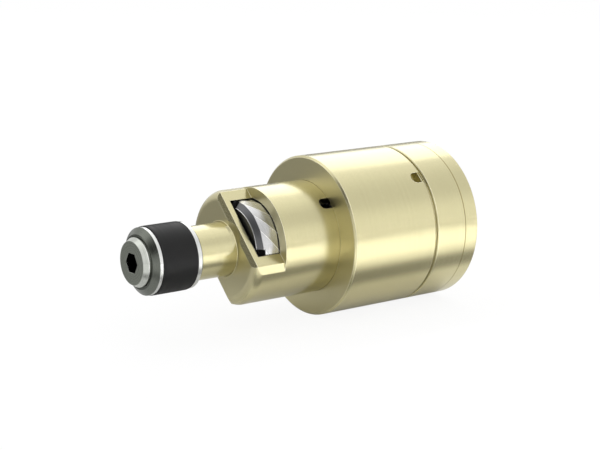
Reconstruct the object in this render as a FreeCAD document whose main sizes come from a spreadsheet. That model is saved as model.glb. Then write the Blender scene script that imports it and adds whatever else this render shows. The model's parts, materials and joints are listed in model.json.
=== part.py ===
"""Internal expansion quick connector, driven by air, as a parametric assembly.

The connector is pushed into a smooth round port. Drive air then moves a piston backwards, the hollow
draw tube pulls the seal bolt and its washer back, and the rubber sleeve between two washers swells
against the port's wall. A return spring behind the faceted adjusting ring lets go of it again.

Lengths are millimetres. The connector's axis is Y: its rear mounting face lies on y = 0 with its
centre at the origin, the nose points to -Y, and +Z is up. Each piece is drawn in a frame of its own,
with the middle of its front end at the frame's origin, and is then placed by its distance from the
rear mounting face. The windows and vents lie along each frame's +Z, which clocking turns into place.
"""
import FreeCAD, Part
import Sketcher
import math
import os

Vector = FreeCAD.Vector
WIRE_SIDES = 6
FACE_SEAL_SIDES = 8
RING_SECTIONS = 5
doc = FreeCAD.newDocument("expansion_connector")
sheet = doc.addObject("Spreadsheet::Sheet", "Sizes")

# Driving dimensions: name, value and what it measures. Places are distances in front of the rear face.
DIMENSIONS = [
    # Barrel, rear cap and end plate
    ("barrel_radius", 26.5, "outside of the barrel, the rear cap and the end plate"),
    ("barrel_length", 34.0, "barrel from its front face to the rear cap"),
    ("barrel_front_wall", 4.5, "thickness of the barrel's front wall"),
    ("barrel_wall", 4.0, "barrel wall around the cylinder bore"),
    ("end_bevel", 0.6, "bevel on the barrel's front edge and the end plate's rear edge"),
    ("rim_bevel", 0.3, "broken edge on the other outer rims"),
    ("cap_length", 13.2, "rear cap from the barrel's end to the end plate"),
    ("groove_width", 1.0, "groove between the barrel and the rear cap"),
    ("groove_depth", 1.0, "depth of that groove"),
    ("spigot_wall", 3.0, "wall of that spigot"),
    ("end_plate_thickness", 5.8, "end plate"),
    ("boss_radius", 11.3, "rear cap's centre boss, which fills the end plate's middle"),
    ("vent_width", 4.0, "width of both vent notches"),
    ("barrel_vent_length", 4.5, "barrel's vent notch from its rear end"),
    ("vent_slit", 1.0, "slit in the spigot under the barrel's vent notch"),
    ("vent_slit_end", 1.6, "metal left behind that slit, from the barrel's end"),
    ("clocking", 45.0, "angle from the vertical of the windows and vents, in degrees"),
    # Front body
    ("body_radius", 18.55, "front body's cylinder"),
    ("body_reach", 33.0, "front body's cylinder in front of the barrel"),
    ("body_rim", 3.3, "rounding of its front rim"),
    ("neck_radius", 8.65, "neck that carries the seal"),
    ("neck_length", 13.9, "neck in front of the front body's face"),
    ("neck_root", 1.6, "rounding at the neck's root"),
    ("front_wall", 3.2, "wall in front of the spring chamber"),
    ("chamber_radius", 15.05, "spring chamber"),
    ("flange_thickness", 3.0, "front body's flange inside the barrel"),
    ("flat_distance", 10.44, "window flat from the axis"),
    ("flat_length", 11.6, "window flat from the front face to its rear wall"),
    ("flat_half_width", 14.55, "half width of the window flat between its bevels"),
    ("flat_bevel", 1.3, "bevel along the window flat's front edge"),
    ("vent_reach", 4.3, "front body's vent notch in front of the barrel"),
    ("body_vent_length", 7.3, "length of that notch"),
    # Bulkhead behind the spring chamber
    ("bulkhead_flange", 4.5, "bulkhead's flange"),
    ("bulkhead_spigot", 4.5, "bulkhead's spigot inside the front body"),
    ("static_seal_wire", 2.0, "section of the bulkhead's outer seal ring"),
    ("clip_thickness", 1.2, "retaining ring behind the bulkhead"),
    ("clip_height", 2.4, "that ring's radial height"),
    ("clip_groove_depth", 1.0, "its groove in the barrel"),
    ("clip_gap", 9.0, "opening between its ends"),
    ("clip_lug_radius", 2.0, "lugs at its ends"),
    ("clip_eye_radius", 0.8, "plier holes in those lugs"),
    ("spring_guide_room", 0.35, "room between the spring and the guides inside both of its ends"),
    ("spring_guide_length", 2.0, "length of those guides"),
    # Draw tube and what it carries
    ("tube_radius", 6.0, "draw tube"),
    ("tube_bore", 3.0, "passage for the test medium"),
    ("tail_radius", 5.0, "draw tube behind the piston"),
    ("tail_end", 14.0, "draw tube's rear end"),
    ("bolt_thread", 4.5, "seal bolt's thread"),
    ("bolt_shank_length", 12.0, "seal bolt's shank"),
    ("bolt_bore", 2.5, "seal bolt's passage"),
    ("socket_width", 6.0, "seal bolt's hexagon socket across its flats"),
    ("socket_depth", 6.0, "depth of that socket"),
    ("bolt_head_rear", 7.75, "seal bolt's head at its rear"),
    ("bolt_head_front", 6.85, "seal bolt's head at its front face"),
    ("bolt_head_length", 2.3, "length of that head"),
    ("bolt_undercut", 0.4, "depth and width of the groove under the head"),
    ("keyway_width", 3.0, "keyway in the draw tube"),
    ("keyway_depth", 1.2, "depth of the keyway"),
    ("keyway_ahead", 3.15, "keyway in front of the spring seat"),
    ("keyway_length", 12.0, "length of the keyway"),
    # Seal stack on the nose
    ("washer_radius", 10.6, "both pressure washers"),
    ("front_washer_land", 1.1, "front washer's cylindrical land"),
    ("front_washer_cone", 1.5, "length of the cone in front of that land"),
    ("front_washer_face", 8.6, "front washer's face at the end of the cone"),
    ("tube_seat_depth", 1.0, "tube's seat in the front washer"),
    ("seal_radius", 10.85, "rubber sleeve at rest"),
    ("seal_length", 12.7, "rubber sleeve at rest"),
    ("seal_rim", 0.35, "bevel of its rims"),
    ("soft_gap", 0.3, "room between the rubber sleeve and the draw tube"),
    ("rear_washer_thickness", 1.9, "rear washer"),
    ("rear_washer_bevel", 0.6, "bevel at its rear"),
    ("bush_wall", 1.2, "nose bush"),
    ("nose_bush_length", 13.1, "nose bush, from inside the rear washer into the neck"),
    ("nose_bush_lead", 1.2, "nose bush's end inside the rear washer"),
    ("bolt_seal_wire", 1.0, "section of the seal ring under the bolt head"),
    # Adjusting ring, spring seat and spring
    ("ring_set_back", 0.9, "adjusting ring behind the chamber's front wall"),
    ("ring_length", 10.0, "adjusting ring"),
    ("ring_radius", 14.7, "adjusting ring"),
    ("ring_cone_length", 1.6, "cone at the ring's front"),
    ("ring_cone_drop", 1.75, "how far that cone falls"),
    ("ring_bevel", 0.35, "bevel on the ring's rear edge"),
    ("ring_facets", 20.0, "number of slanted facets round the ring"),
    ("facet_lead", 77.5, "length in which a facet goes once round"),
    ("spanner_slot", 3.0, "width of the spanner slots in the ring's front"),
    ("spanner_slot_depth", 2.2, "depth of those slots"),
    ("spanner_slots", 4.0, "number of those slots"),
    ("seat_thickness", 3.0, "spring seat's plate"),
    ("seat_radius", 14.4, "spring seat's plate"),
    ("key_width", 2.8, "spring seat's key, which runs in the keyway"),
    ("spring_wire", 2.2, "spring wire"),
    ("spring_mean_radius", 12.55, "middle of the spring's wire"),
    ("spring_turns", 4.5, "turns of the spring"),
    # Piston and what it carries
    ("rest_gap", 0.3, "room in front of the piston and the air tube at rest"),
    ("stroke", 3.0, "how far the piston travels"),
    ("stop_gap", 0.1, "room left behind the piston after that"),
    ("piston_length", 9.4, "piston"),
    ("piston_fit", 0.2, "radial room between the piston and the barrel"),
    ("piston_bevel", 0.5, "bevels on the piston's rims"),
    ("piston_seal_wire", 2.6, "section of the piston's seal ring"),
    ("piston_seal_place", 1.0, "piston's seal groove from its front face"),
    ("guide_width", 3.6, "piston's guide ring"),
    ("guide_thickness", 1.6, "radial thickness of that ring"),
    ("guide_place", 4.9, "piston's guide groove from its front face"),
    ("nut_width", 17.0, "piston nut across its flats"),
    ("nut_height", 5.0, "piston nut"),
    ("nut_room", 0.8, "room round the nut's corners in the piston's recess"),
    # Rod seals and guides
    ("rod_seal_wire", 1.8, "section of the seal rings round the draw tube"),
    ("rod_bush_length", 4.0, "bush in the bulkhead"),
    ("tail_bush_length", 5.0, "bush in the rear cap"),
    ("tail_boss_radius", 8.6, "rear cap's boss round the tail"),
    ("tail_boss_drop", 2.5, "that boss behind the spigot's front end"),
    # Air way
    ("air_inset", 7.0, "air tube and drive air port inside the cylinder bore"),
    ("air_angle", 22.5, "drive air port from the vertical, in degrees"),
    ("air_tube_radius", 1.75, "air tube"),
    ("air_tube_bore", 1.1, "air tube's bore"),
    ("air_tube_seat", 7.0, "length of the air tube inside the rear cap"),
    ("air_seal_wire", 1.2, "section of the seal ring round the air tube"),
    ("port_seal_wire", 1.5, "section of the seal ring behind the drive air port"),
    ("port_seal_radius", 3.2, "middle of that seal ring's wire"),
    # Connections on the rear face
    ("media_port_radius", 5.8, "tapped media port"),
    ("media_port_depth", 11.0, "depth of that port"),
    ("port_bevel", 0.8, "countersink of the ports"),
    ("air_port_radius", 2.1, "tapped drive air port"),
    ("mount_inset", 5.5, "mounting holes inside the end plate's rim"),
    ("mount_hole_radius", 2.1, "tapped mounting holes"),
    ("mount_hole_depth", 11.0, "depth of those holes"),
    ("mount_holes", 4.0, "number of mounting holes"),
    ("screw_inset", 7.5, "end plate screws inside the end plate's rim"),
    ("screw_radius", 2.0, "end plate screws"),
    ("screw_head_radius", 3.5, "heads of those screws"),
    ("screw_head_height", 3.6, "height of those heads"),
    ("screw_length", 8.0, "end plate screws under the head"),
    ("thread_runout", 1.0, "tapped holes deeper than their screws"),
    ("screw_socket", 3.0, "hexagon sockets of those screws across the flats"),
    ("pin_wall", 0.45, "metal on both sides of the dowel that keeps the front body from turning"),
    ("pin_length", 5.0, "that dowel"),
    # Fits
    ("running_fit", 0.05, "radial clearance of what slides or turns"),
    ("seated_fit", 0.02, "radial clearance of what is screwed or pressed in"),
    ("loose_fit", 0.1, "radial clearance round a screw's shank"),
    ("groove_share", 1.2, "width of a seal groove as a share of its ring's section"),
    ("seal_land", 0.5, "metal between a bush and its seal groove"),
    ("overrun", 1.0, "how far a cut runs past the metal"),
    ("end_float", 0.05, "axial clearance between pieces that turn on each other"),
]


class Measure:
    """A size that knows its number and the expression that reads it from the sheet."""

    def __init__(self, number, text):
        self.number = number
        self.text = text

    def __add__(self, other):
        return joined(self, "+", other, self.number + measure(other).number)

    def __sub__(self, other):
        return joined(self, "-", other, self.number - measure(other).number)

    def __rsub__(self, other):
        return joined(other, "-", self, measure(other).number - self.number)

    def __mul__(self, other):
        return joined(self, "*", other, self.number * measure(other).number)

    def __truediv__(self, other):
        return joined(self, "/", other, self.number / measure(other).number)

    def __neg__(self):
        return Measure(-self.number, "(0 - " + self.text + ")")


def measure(value):
    """A plain number as a Measure."""
    if isinstance(value, Measure):
        return value
    return Measure(float(value), repr(round(float(value), 9)))


def joined(left, sign, right, number):
    """The Measure of two sizes and the sign between them."""
    return Measure(number, "(" + measure(left).text + " " + sign + " " + measure(right).text + ")")


class Sizes:
    """Every driving dimension as a Measure, under its own name."""


size = Sizes()
for row, (name, value, meaning) in enumerate(DIMENSIONS, start=1):
    sheet.set("A%d" % row, meaning)
    sheet.set("B%d" % row, str(value))
    sheet.setAlias("B%d" % row, name)
    setattr(size, name, Measure(value, "Sizes." + name))
doc.recompute()

# Sizes that follow from the driving ones.
cap_front = size.end_plate_thickness + size.cap_length
barrel_front = cap_front + size.barrel_length
body_front = barrel_front + size.body_reach
bore_radius = size.barrel_radius - size.barrel_wall
flange_radius = bore_radius - size.running_fit
flange_front = barrel_front - size.barrel_front_wall
bulkhead_flange_front = flange_front - size.flange_thickness
bulkhead_front = bulkhead_flange_front + size.bulkhead_spigot
clip_front = bulkhead_flange_front - size.bulkhead_flange
neck_front = body_front + size.neck_length
rear_washer_front = neck_front + size.rear_washer_thickness
seal_front = rear_washer_front + size.seal_length
front_washer_length = size.front_washer_land + size.front_washer_cone
front_washer_front = seal_front + front_washer_length
bolt_front = front_washer_front + size.bolt_head_length
tube_front = seal_front + size.tube_seat_depth
chamber_front = body_front - size.front_wall
ring_front = chamber_front - size.ring_set_back
seat_front = ring_front - size.ring_length - size.end_float
spring_front = seat_front - size.seat_thickness
spring_length = spring_front - bulkhead_front
spring_guide_radius = size.spring_mean_radius - size.spring_wire / 2 - size.spring_guide_room
piston_front = clip_front - size.clip_thickness - size.rest_gap
piston_rear = piston_front - size.piston_length
air_tube_front = clip_front - size.rest_gap
spigot_front = piston_rear - size.stroke - size.stop_gap
spigot_length = spigot_front - cap_front
tail_boss_front = spigot_front - size.tail_boss_drop
tube_hole = size.tube_radius + size.running_fit
tail_hole = size.tail_radius + size.running_fit
clear_hole = size.tube_radius + size.soft_gap
nose_bush_radius = tube_hole + size.bush_wall
tail_bush_radius = tail_hole + size.bush_wall
air_place = bore_radius - size.air_inset
mount_circle_radius = size.barrel_radius - size.mount_inset
screw_circle_radius = size.barrel_radius - size.screw_inset
pin_place = (flange_radius + size.body_radius) / 2
pin_radius = (flange_radius - size.body_radius) / 2 - size.pin_wall
bolt_hole = size.bolt_thread + size.loose_fit


def number(value):
    return measure(value).number


def bind(thing, path, value):
    """Ties one property of an object to the sheet."""
    thing.setExpression(path, measure(value).text)


def new_body(label, front, turned=None):
    """A body whose frame lies on the axis, its front end at that distance from the rear face."""
    body = doc.addObject("PartDesign::Body", label)
    body.Label = label
    place(body, front, turned)
    return body


def place(thing, front, turned=None):
    """Puts a piece's own frame on the axis, turned about it by the angle of the windows."""
    angle = number(turned) if turned is not None else 0.0
    thing.Placement = FreeCAD.Placement(
        Vector(0, -number(front), 0), FreeCAD.Rotation(Vector(0, 1, 0), angle)
    )
    bind(thing, "Placement.Base.y", -measure(front))
    if turned is not None:
        bind(thing, "Placement.Rotation.Angle", turned)


def origin_feature(body, role):
    return [item for item in body.Origin.OriginFeatures if item.Role == role][0]


def new_sketch(body, name, role, offset=None):
    """A sketch on one of the body's own planes, moved along the plane's normal by offset."""
    sketch = body.newObject("Sketcher::SketchObject", name)
    sketch.AttachmentSupport = [(origin_feature(body, role), "")]
    sketch.MapMode = "FlatFace"
    if offset is not None:
        sketch.AttachmentOffset = FreeCAD.Placement(
            Vector(0, 0, number(offset)), FreeCAD.Rotation()
        )
        bind(sketch, "AttachmentOffset.Base.z", offset)
    return sketch


def hold(sketch, kind, *args):
    """Adds one dimension to a sketch and ties it to the sheet."""
    value = args[-1]
    index = sketch.addConstraint(Sketcher.Constraint(kind, *args[:-1], number(value)))
    if "Sizes." in measure(value).text:
        bind(sketch, "Constraints[%d]" % index, value)


def draw_outline(sketch, corners):
    """A closed outline of straight lines, each corner held at its distance from the origin."""
    points = [Vector(number(x), number(y), 0) for x, y in corners]
    count = len(points)
    first = sketch.GeometryCount
    for i in range(count):
        sketch.addGeometry(Part.LineSegment(points[i], points[(i + 1) % count]))
    for i in range(count):
        sketch.addConstraint(
            Sketcher.Constraint("Coincident", first + i, 2, first + (i + 1) % count, 1)
        )
        hold(sketch, "DistanceX", -1, 1, first + i, 1, corners[i][0])
        hold(sketch, "DistanceY", -1, 1, first + i, 1, corners[i][1])


def draw_circle(sketch, x, y, radius):
    circle = sketch.addGeometry(
        Part.Circle(Vector(number(x), number(y), 0), Vector(0, 0, 1), number(radius))
    )
    hold(sketch, "DistanceX", -1, 1, circle, 3, x)
    hold(sketch, "DistanceY", -1, 1, circle, 3, y)
    hold(sketch, "Radius", circle, radius)


def draw_slot(sketch, width, front, rear):
    """A slot along the body's axis with two round ends."""
    half = width / 2
    ends = [front + half, rear - half]
    x = number(half)
    low = Part.Circle(Vector(0, number(ends[0]), 0), Vector(0, 0, 1), x)
    high = Part.Circle(Vector(0, number(ends[1]), 0), Vector(0, 0, 1), x)
    arcs = [
        sketch.addGeometry(Part.ArcOfCircle(low, math.pi, 2 * math.pi)),
        sketch.addGeometry(Part.ArcOfCircle(high, 0, math.pi)),
    ]
    right = sketch.addGeometry(
        Part.LineSegment(Vector(x, number(ends[0]), 0), Vector(x, number(ends[1]), 0))
    )
    left = sketch.addGeometry(
        Part.LineSegment(Vector(-x, number(ends[1]), 0), Vector(-x, number(ends[0]), 0))
    )
    for first, second in (
        (arcs[0], right),
        (right, arcs[1]),
        (arcs[1], left),
        (left, arcs[0]),
    ):
        sketch.addConstraint(Sketcher.Constraint("Tangent", first, 2, second, 1))
    for arc, end in zip(arcs, ends):
        hold(sketch, "DistanceX", -1, 1, arc, 3, 0)
        hold(sketch, "DistanceY", -1, 1, arc, 3, end)
    hold(sketch, "Radius", arcs[0], half)


def turned_piece(label, front, corners, turned=None):
    """A body made on the lathe: corners are (radius, distance behind its front end)."""
    body = new_body(label, front, turned)
    add_turning(body, label + "_profile", corners, "PartDesign::Revolution")
    return body


def add_turning(body, name, corners, kind):
    sketch = new_sketch(body, name, "XY_Plane")
    draw_outline(sketch, corners)
    feature = body.newObject(kind, name + "_turned")
    feature.Profile = sketch
    feature.ReferenceAxis = (sketch, ["V_Axis"])
    feature.Angle = 360.0
    doc.recompute()
    return feature


def groove(body, name, inner, outer, front, rear):
    """A turned groove between two radii and two places along the body."""
    corners = [(inner, front), (outer, front), (outer, rear), (inner, rear)]
    return cut_checked(body, lambda: add_turning(body, name, corners, "PartDesign::Groove"))


def cut_checked(body, make):
    """Makes a cut and stops where it took nothing away."""
    before = body.Shape.Volume
    feature = make()
    doc.recompute()
    if not body.Shape.Volume < before - 1e-6:
        raise RuntimeError(feature.Name + " cuts nothing")
    return feature


def pocket(body, sketch, length, backwards=False, both_ways=False):
    """A pocket of that length, on the side of the sketch where the metal lies."""

    def make():
        feature = body.newObject("PartDesign::Pocket", sketch.Name + "_pocket")
        feature.Profile = sketch
        feature.Length = number(length)
        bind(feature, "Length", length)
        feature.Reversed = backwards
        feature.Midplane = both_ways
        return feature

    return cut_checked(body, make)


def repeat_round(body, features, count):
    """Repeats features round the body's axis."""
    pattern = body.newObject("PartDesign::PolarPattern", features[0].Name + "_pattern")
    pattern.Originals = features
    pattern.Axis = (origin_feature(body, "Y_Axis"), [""])
    pattern.Angle = 360.0
    pattern.Occurrences = int(number(count))
    if "Sizes." in measure(count).text:
        bind(pattern, "Occurrences", count)
    body.Tip = pattern
    doc.recompute()
    return pattern


def pad(body, sketch, length):
    """A pad of that length behind the sketch."""
    feature = body.newObject("PartDesign::Pad", sketch.Name + "_pad")
    feature.Profile = sketch
    bind(feature, "Length", length)
    feature.Reversed = True
    doc.recompute()
    return feature


def drill(body, name, x, z, radius, front, depth):
    """A hole along the axis at (x, z), from that place along the body backwards."""
    sketch = new_sketch(body, name, "XZ_Plane", -measure(front))
    draw_circle(sketch, x, z, radius)
    return pocket(body, sketch, depth)


def rims(body, radius, place_along):
    """The names of the round edges of one radius at one place along the body."""
    names = []
    for index, edge in enumerate(body.Tip.Shape.Edges, start=1):
        curve = edge.Curve
        if not isinstance(curve, Part.Circle) or abs(curve.Radius - number(radius)) > 1e-4:
            continue
        if abs(abs(curve.Axis.y) - 1) < 1e-6 and abs(curve.Center.y - number(place_along)) < 1e-4:
            names.append("Edge%d" % index)
    return names


def round_rims(body, name, places, radius):
    """Rounds the rims at the given (radius, place) pairs."""
    names = []
    for rim_radius, place_along in places:
        names += rims(body, rim_radius, place_along)
    if not names:
        raise RuntimeError(name + " finds no rim")
    base = body.Tip
    fillet = body.newObject("PartDesign::Fillet", name)
    fillet.Base = (base, names)
    fillet.Radius = number(radius)
    bind(fillet, "Radius", radius)
    doc.recompute()
    return fillet


def polygon(sides, corner, x=0, y=0, first=0.0):
    """The corners of a regular polygon round (x, y), each at that distance from it."""
    angles = [math.radians(first + 360.0 * step / sides) for step in range(sides)]
    return [(corner * math.cos(angle) + x, corner * math.sin(angle) + y) for angle in angles]


def hexagon(width):
    """The corners of a hexagon that measures width across its flats."""
    return polygon(6, width / math.sqrt(3))


def wire_section(wire, x, y, sides=WIRE_SIDES):
    """The few-sided section that stands for a round wire or cord of that thickness."""
    turn = math.pi / sides
    return polygon(sides, wire / (2 * math.cos(turn)), x, y, math.degrees(turn))


def seal_ring(label, middle_radius, wire, front, off_axis=None, sides=WIRE_SIDES):
    """A rubber ring, its front at that distance from the rear face."""
    ring = turned_piece(label, front, wire_section(wire, middle_radius, wire / 2, sides))
    if off_axis is not None:
        move_to_air_way(ring)
    return ring


def move_to_air_way(body):
    """Moves a body from the axis to the air way's own axis."""
    bind(body, "Placement.Base.x", air_place * sine(size.air_angle))
    bind(body, "Placement.Base.z", air_place * cosine(size.air_angle))


def sine(angle):
    return Measure(math.sin(math.radians(number(angle))), "sin(" + angle.text + " * 1deg)")


def cosine(angle):
    return Measure(math.cos(math.radians(number(angle))), "cos(" + angle.text + " * 1deg)")


def air_way_spot():
    """The air way's place in the frame of a piece that is turned with the windows."""
    angle = size.air_angle - size.clocking
    return air_place * sine(angle), air_place * cosine(angle)


def make_front_body():
    """Front body: neck, large cylinder with two window flats, flange and spring chamber."""
    face = size.neck_length
    flange = neck_front - flange_front
    rear = neck_front - bulkhead_flange_front
    chamber = neck_front - chamber_front
    body = turned_piece(
        "front_body",
        neck_front,
        [
            (nose_bush_radius, 0),
            (size.neck_radius, 0),
            (size.neck_radius, face),
            (size.body_radius, face),
            (size.body_radius, flange),
            (flange_radius, flange),
            (flange_radius, rear),
            (size.chamber_radius, rear),
            (size.chamber_radius, chamber),
            (clear_hole, chamber),
            (clear_hole, size.nose_bush_length - size.nose_bush_lead),
            (nose_bush_radius, size.nose_bush_length - size.nose_bush_lead),
        ],
        size.clocking,
    )
    round_rims(body, "neck_root_round", [(size.neck_radius, face)], size.neck_root)
    round_rims(body, "body_rim_round", [(size.body_radius, face)], size.body_rim)

    window = new_sketch(body, "window_flat", "XZ_Plane", -face)
    reach = size.body_radius + size.flat_bevel
    fall = reach - size.flat_half_width
    draw_outline(
        window,
        [
            (size.flat_half_width, size.flat_distance),
            (reach, size.flat_distance - fall),
            (reach, reach),
            (-reach, reach),
            (-reach, size.flat_distance - fall),
            (-size.flat_half_width, size.flat_distance),
        ],
    )
    flat = pocket(body, window, size.flat_length)
    edge = new_sketch(body, "window_edge", "YZ_Plane")
    draw_outline(
        edge,
        [
            (face - size.flat_bevel, size.flat_distance - size.flat_bevel * 2),
            (face + size.flat_bevel, size.flat_distance),
            (face - size.flat_bevel, size.flat_distance),
        ],
    )
    bevel = pocket(body, edge, size.body_radius * 3, both_ways=True)
    repeat_round(body, [flat, bevel], 2)

    vent = new_sketch(body, "body_vent", "XY_Plane")
    vent_front = neck_front - barrel_front - size.vent_reach
    draw_slot(vent, size.vent_width, vent_front, vent_front + size.body_vent_length)
    pocket(body, vent, flange_radius, backwards=True)
    drill(body, "body_pin_hole", 0, -pin_place, pin_radius, flange, size.flange_thickness)
    return body


def make_barrel():
    """Barrel: the cylinder's tube, with a front wall that holds the front body's flange."""
    radius = size.barrel_radius
    rear = size.barrel_length
    clip = barrel_front - clip_front
    body = turned_piece(
        "barrel",
        barrel_front,
        [
            (size.body_radius + size.running_fit, 0),
            (radius - size.end_bevel, 0),
            (radius, size.end_bevel),
            (radius, rear - size.rim_bevel),
            (radius - size.rim_bevel, rear),
            (bore_radius, rear),
            (bore_radius, size.barrel_front_wall),
            (size.body_radius + size.running_fit, size.barrel_front_wall),
        ],
        size.clocking,
    )
    groove(
        body,
        "clip_groove",
        bore_radius - size.overrun,
        bore_radius + size.clip_groove_depth,
        clip,
        clip + size.clip_thickness + size.end_float,
    )
    vent = new_sketch(body, "barrel_vent", "XY_Plane")
    draw_slot(vent, size.vent_width, rear - size.barrel_vent_length, rear + size.vent_width)
    pocket(body, vent, radius * 2, backwards=True)
    pin_top = size.barrel_front_wall - (size.pin_length - size.flange_thickness)
    drill(body, "barrel_pin_hole", 0, -pin_place, pin_radius, pin_top, size.pin_length)
    return body


def make_rear_cap():
    """Rear cap: screwed into the barrel, it guides the draw tube's tail and holds the air tube."""
    front = spigot_length
    rear = front + size.cap_length
    boss_rear = rear + size.end_plate_thickness
    floor_bore = bore_radius - size.seated_fit - size.spigot_wall
    groove_floor = size.barrel_radius - size.groove_depth
    bush_front = size.tail_boss_drop
    bush_rear = bush_front + size.tail_bush_length
    port_floor = boss_rear - size.media_port_depth
    body = turned_piece(
        "rear_cap",
        spigot_front,
        [
            (floor_bore, 0),
            (bore_radius - size.seated_fit, 0),
            (bore_radius - size.seated_fit, front),
            (groove_floor, front),
            (groove_floor, front + size.groove_width),
            (size.barrel_radius - size.rim_bevel, front + size.groove_width),
            (size.barrel_radius, front + size.groove_width + size.rim_bevel),
            (size.barrel_radius, rear),
            (size.boss_radius, rear),
            (size.boss_radius, boss_rear),
            (size.media_port_radius + size.port_bevel, boss_rear),
            (size.media_port_radius, boss_rear - size.port_bevel),
            (size.media_port_radius, port_floor),
            (tail_hole, port_floor),
            (tail_hole, bush_rear),
            (tail_bush_radius, bush_rear),
            (tail_bush_radius, bush_front),
            (size.tail_boss_radius, bush_front),
            (size.tail_boss_radius, front),
            (floor_bore, front),
        ],
        size.clocking,
    )
    seal = bush_rear + size.seal_land
    groove(
        body,
        "tail_seal_groove",
        size.tail_radius,
        size.tail_radius + size.rod_seal_wire,
        seal,
        seal + size.rod_seal_wire * size.groove_share,
    )
    slit = new_sketch(body, "vent_slit", "XY_Plane", (floor_bore + size.tail_boss_radius) / 2)
    draw_slot(slit, size.vent_slit, -size.vent_slit, front - size.vent_slit_end)
    pocket(body, slit, size.barrel_radius, backwards=True)
    air_x, air_z = air_way_spot()
    drill(body, "air_tube_seat", air_x, air_z, size.air_tube_radius + size.seated_fit,
          front, size.air_tube_seat)
    drill(body, "air_way", air_x, air_z, size.air_tube_bore, front, size.cap_length)
    seal_recess = size.port_seal_radius + size.port_seal_wire / 2
    drill(body, "port_seal_recess", air_x, air_z, seal_recess,
          rear - size.port_seal_wire, size.port_seal_wire)
    tapped = size.mount_hole_depth - size.end_plate_thickness
    hole = drill(body, "mount_hole", 0, mount_circle_radius, size.mount_hole_radius,
                 rear - tapped, tapped)
    repeat_round(body, [hole], size.mount_holes)
    reach = size.screw_length + size.screw_head_height - size.end_plate_thickness + size.thread_runout
    spread = screw_circle_radius * math.sin(math.pi / 4)
    thread = drill(body, "screw_hole", spread, spread, size.screw_radius + size.seated_fit,
                   rear - reach, reach)
    repeat_round(body, [thread], size.mount_holes)
    return body


def make_end_plate():
    """End plate: closes the rear and carries the mounting holes and the drive air port."""
    thickness = size.end_plate_thickness
    body = turned_piece(
        "end_plate",
        thickness,
        [
            (size.boss_radius + size.seated_fit, 0),
            (size.barrel_radius, 0),
            (size.barrel_radius, thickness - size.end_bevel),
            (size.barrel_radius - size.end_bevel, thickness),
            (size.boss_radius + size.seated_fit, thickness),
        ],
        size.clocking,
    )
    hole = drill(body, "plate_mount_hole", 0, mount_circle_radius, size.mount_hole_radius,
                 0, thickness)
    repeat_round(body, [hole], size.mount_holes)
    spread = screw_circle_radius * math.sin(math.pi / 4)
    screw = drill(body, "plate_screw_hole", spread, spread, size.screw_radius + size.loose_fit,
                  0, thickness)
    head = drill(body, "plate_screw_head", spread, spread, size.screw_head_radius + size.loose_fit * 2,
                 thickness - size.screw_head_height, size.screw_head_height)
    repeat_round(body, [screw, head], size.mount_holes)
    air_x, air_z = air_way_spot()
    drill(body, "air_port", air_x, air_z, size.air_port_radius, 0, thickness)
    return body


def make_end_plate_screws():
    """Cap screws that hold the end plate on the rear cap, as one group."""
    screws = []
    for index in range(int(size.mount_holes.number)):
        screws.append(make_cap_screw(index))
    group = doc.addObject("Part::Compound", "end_plate_screws")
    group.Label = "end_plate_screws"
    group.Links = screws
    return group


def make_cap_screw(index):
    """One cap screw, its head level with the rear face."""
    head = doc.addObject("Part::Cylinder", "screw_head")
    bind(head, "Radius", size.screw_head_radius)
    bind(head, "Height", size.screw_head_height)
    shank = doc.addObject("Part::Cylinder", "screw_shank")
    bind(shank, "Radius", size.screw_radius)
    bind(shank, "Height", size.screw_length)
    shank.Placement = FreeCAD.Placement(Vector(0, 0, 0), FreeCAD.Rotation(Vector(1, 0, 0), 180))
    whole = doc.addObject("Part::Fuse", "screw_blank")
    whole.Base = head
    whole.Tool = shank
    socket = doc.addObject("Part::Prism", "screw_socket")
    socket.Polygon = 6
    bind(socket, "Circumradius", size.screw_socket / math.sqrt(3))
    bind(socket, "Height", size.screw_head_height)
    bind(socket, "Placement.Base.z", size.screw_head_height / 2)
    screw = doc.addObject("Part::Cut", "screw")
    screw.Base = whole
    screw.Tool = socket
    angle = 360.0 * index / size.mount_holes.number
    upright = FreeCAD.Rotation(Vector(1, 0, 0), -90)
    turn = FreeCAD.Rotation(Vector(0, 1, 0), angle)
    screw.Placement = FreeCAD.Placement(Vector(0, 0, 0), turn.multiply(upright))
    bind(screw, "Placement.Base.x", screw_circle_radius * math.sin(math.radians(angle)))
    bind(screw, "Placement.Base.z", screw_circle_radius * math.cos(math.radians(angle)))
    bind(screw, "Placement.Base.y", -size.screw_head_height)
    return screw


def make_bulkhead():
    """Bulkhead: closes the spring chamber and seals the draw tube against the drive air."""
    spigot = size.bulkhead_spigot
    rear = spigot + size.bulkhead_flange
    chamber_fit = size.chamber_radius - size.seated_fit
    body = turned_piece(
        "bulkhead",
        bulkhead_front,
        [
            (tube_hole, -size.spring_guide_length),
            (spring_guide_radius, -size.spring_guide_length),
            (spring_guide_radius, 0),
            (chamber_fit, 0),
            (chamber_fit, spigot),
            (bore_radius - size.running_fit, spigot),
            (bore_radius - size.running_fit, rear),
            (nose_bush_radius, rear),
            (nose_bush_radius, rear - size.rod_bush_length),
            (tube_hole, rear - size.rod_bush_length),
        ],
        size.clocking,
    )
    rod_groove = size.rod_seal_wire * size.groove_share
    seal = rear - size.rod_bush_length - size.seal_land - rod_groove
    groove(
        body,
        "rod_seal_groove",
        size.tube_radius,
        size.tube_radius + size.rod_seal_wire,
        seal,
        seal + rod_groove,
    )
    outer_groove = size.static_seal_wire * size.groove_share
    outer = spigot + (size.bulkhead_flange - outer_groove) / 2
    groove(
        body,
        "static_seal_groove",
        bore_radius - size.static_seal_wire,
        bore_radius + size.overrun,
        outer,
        outer + outer_groove,
    )
    return body


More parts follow.
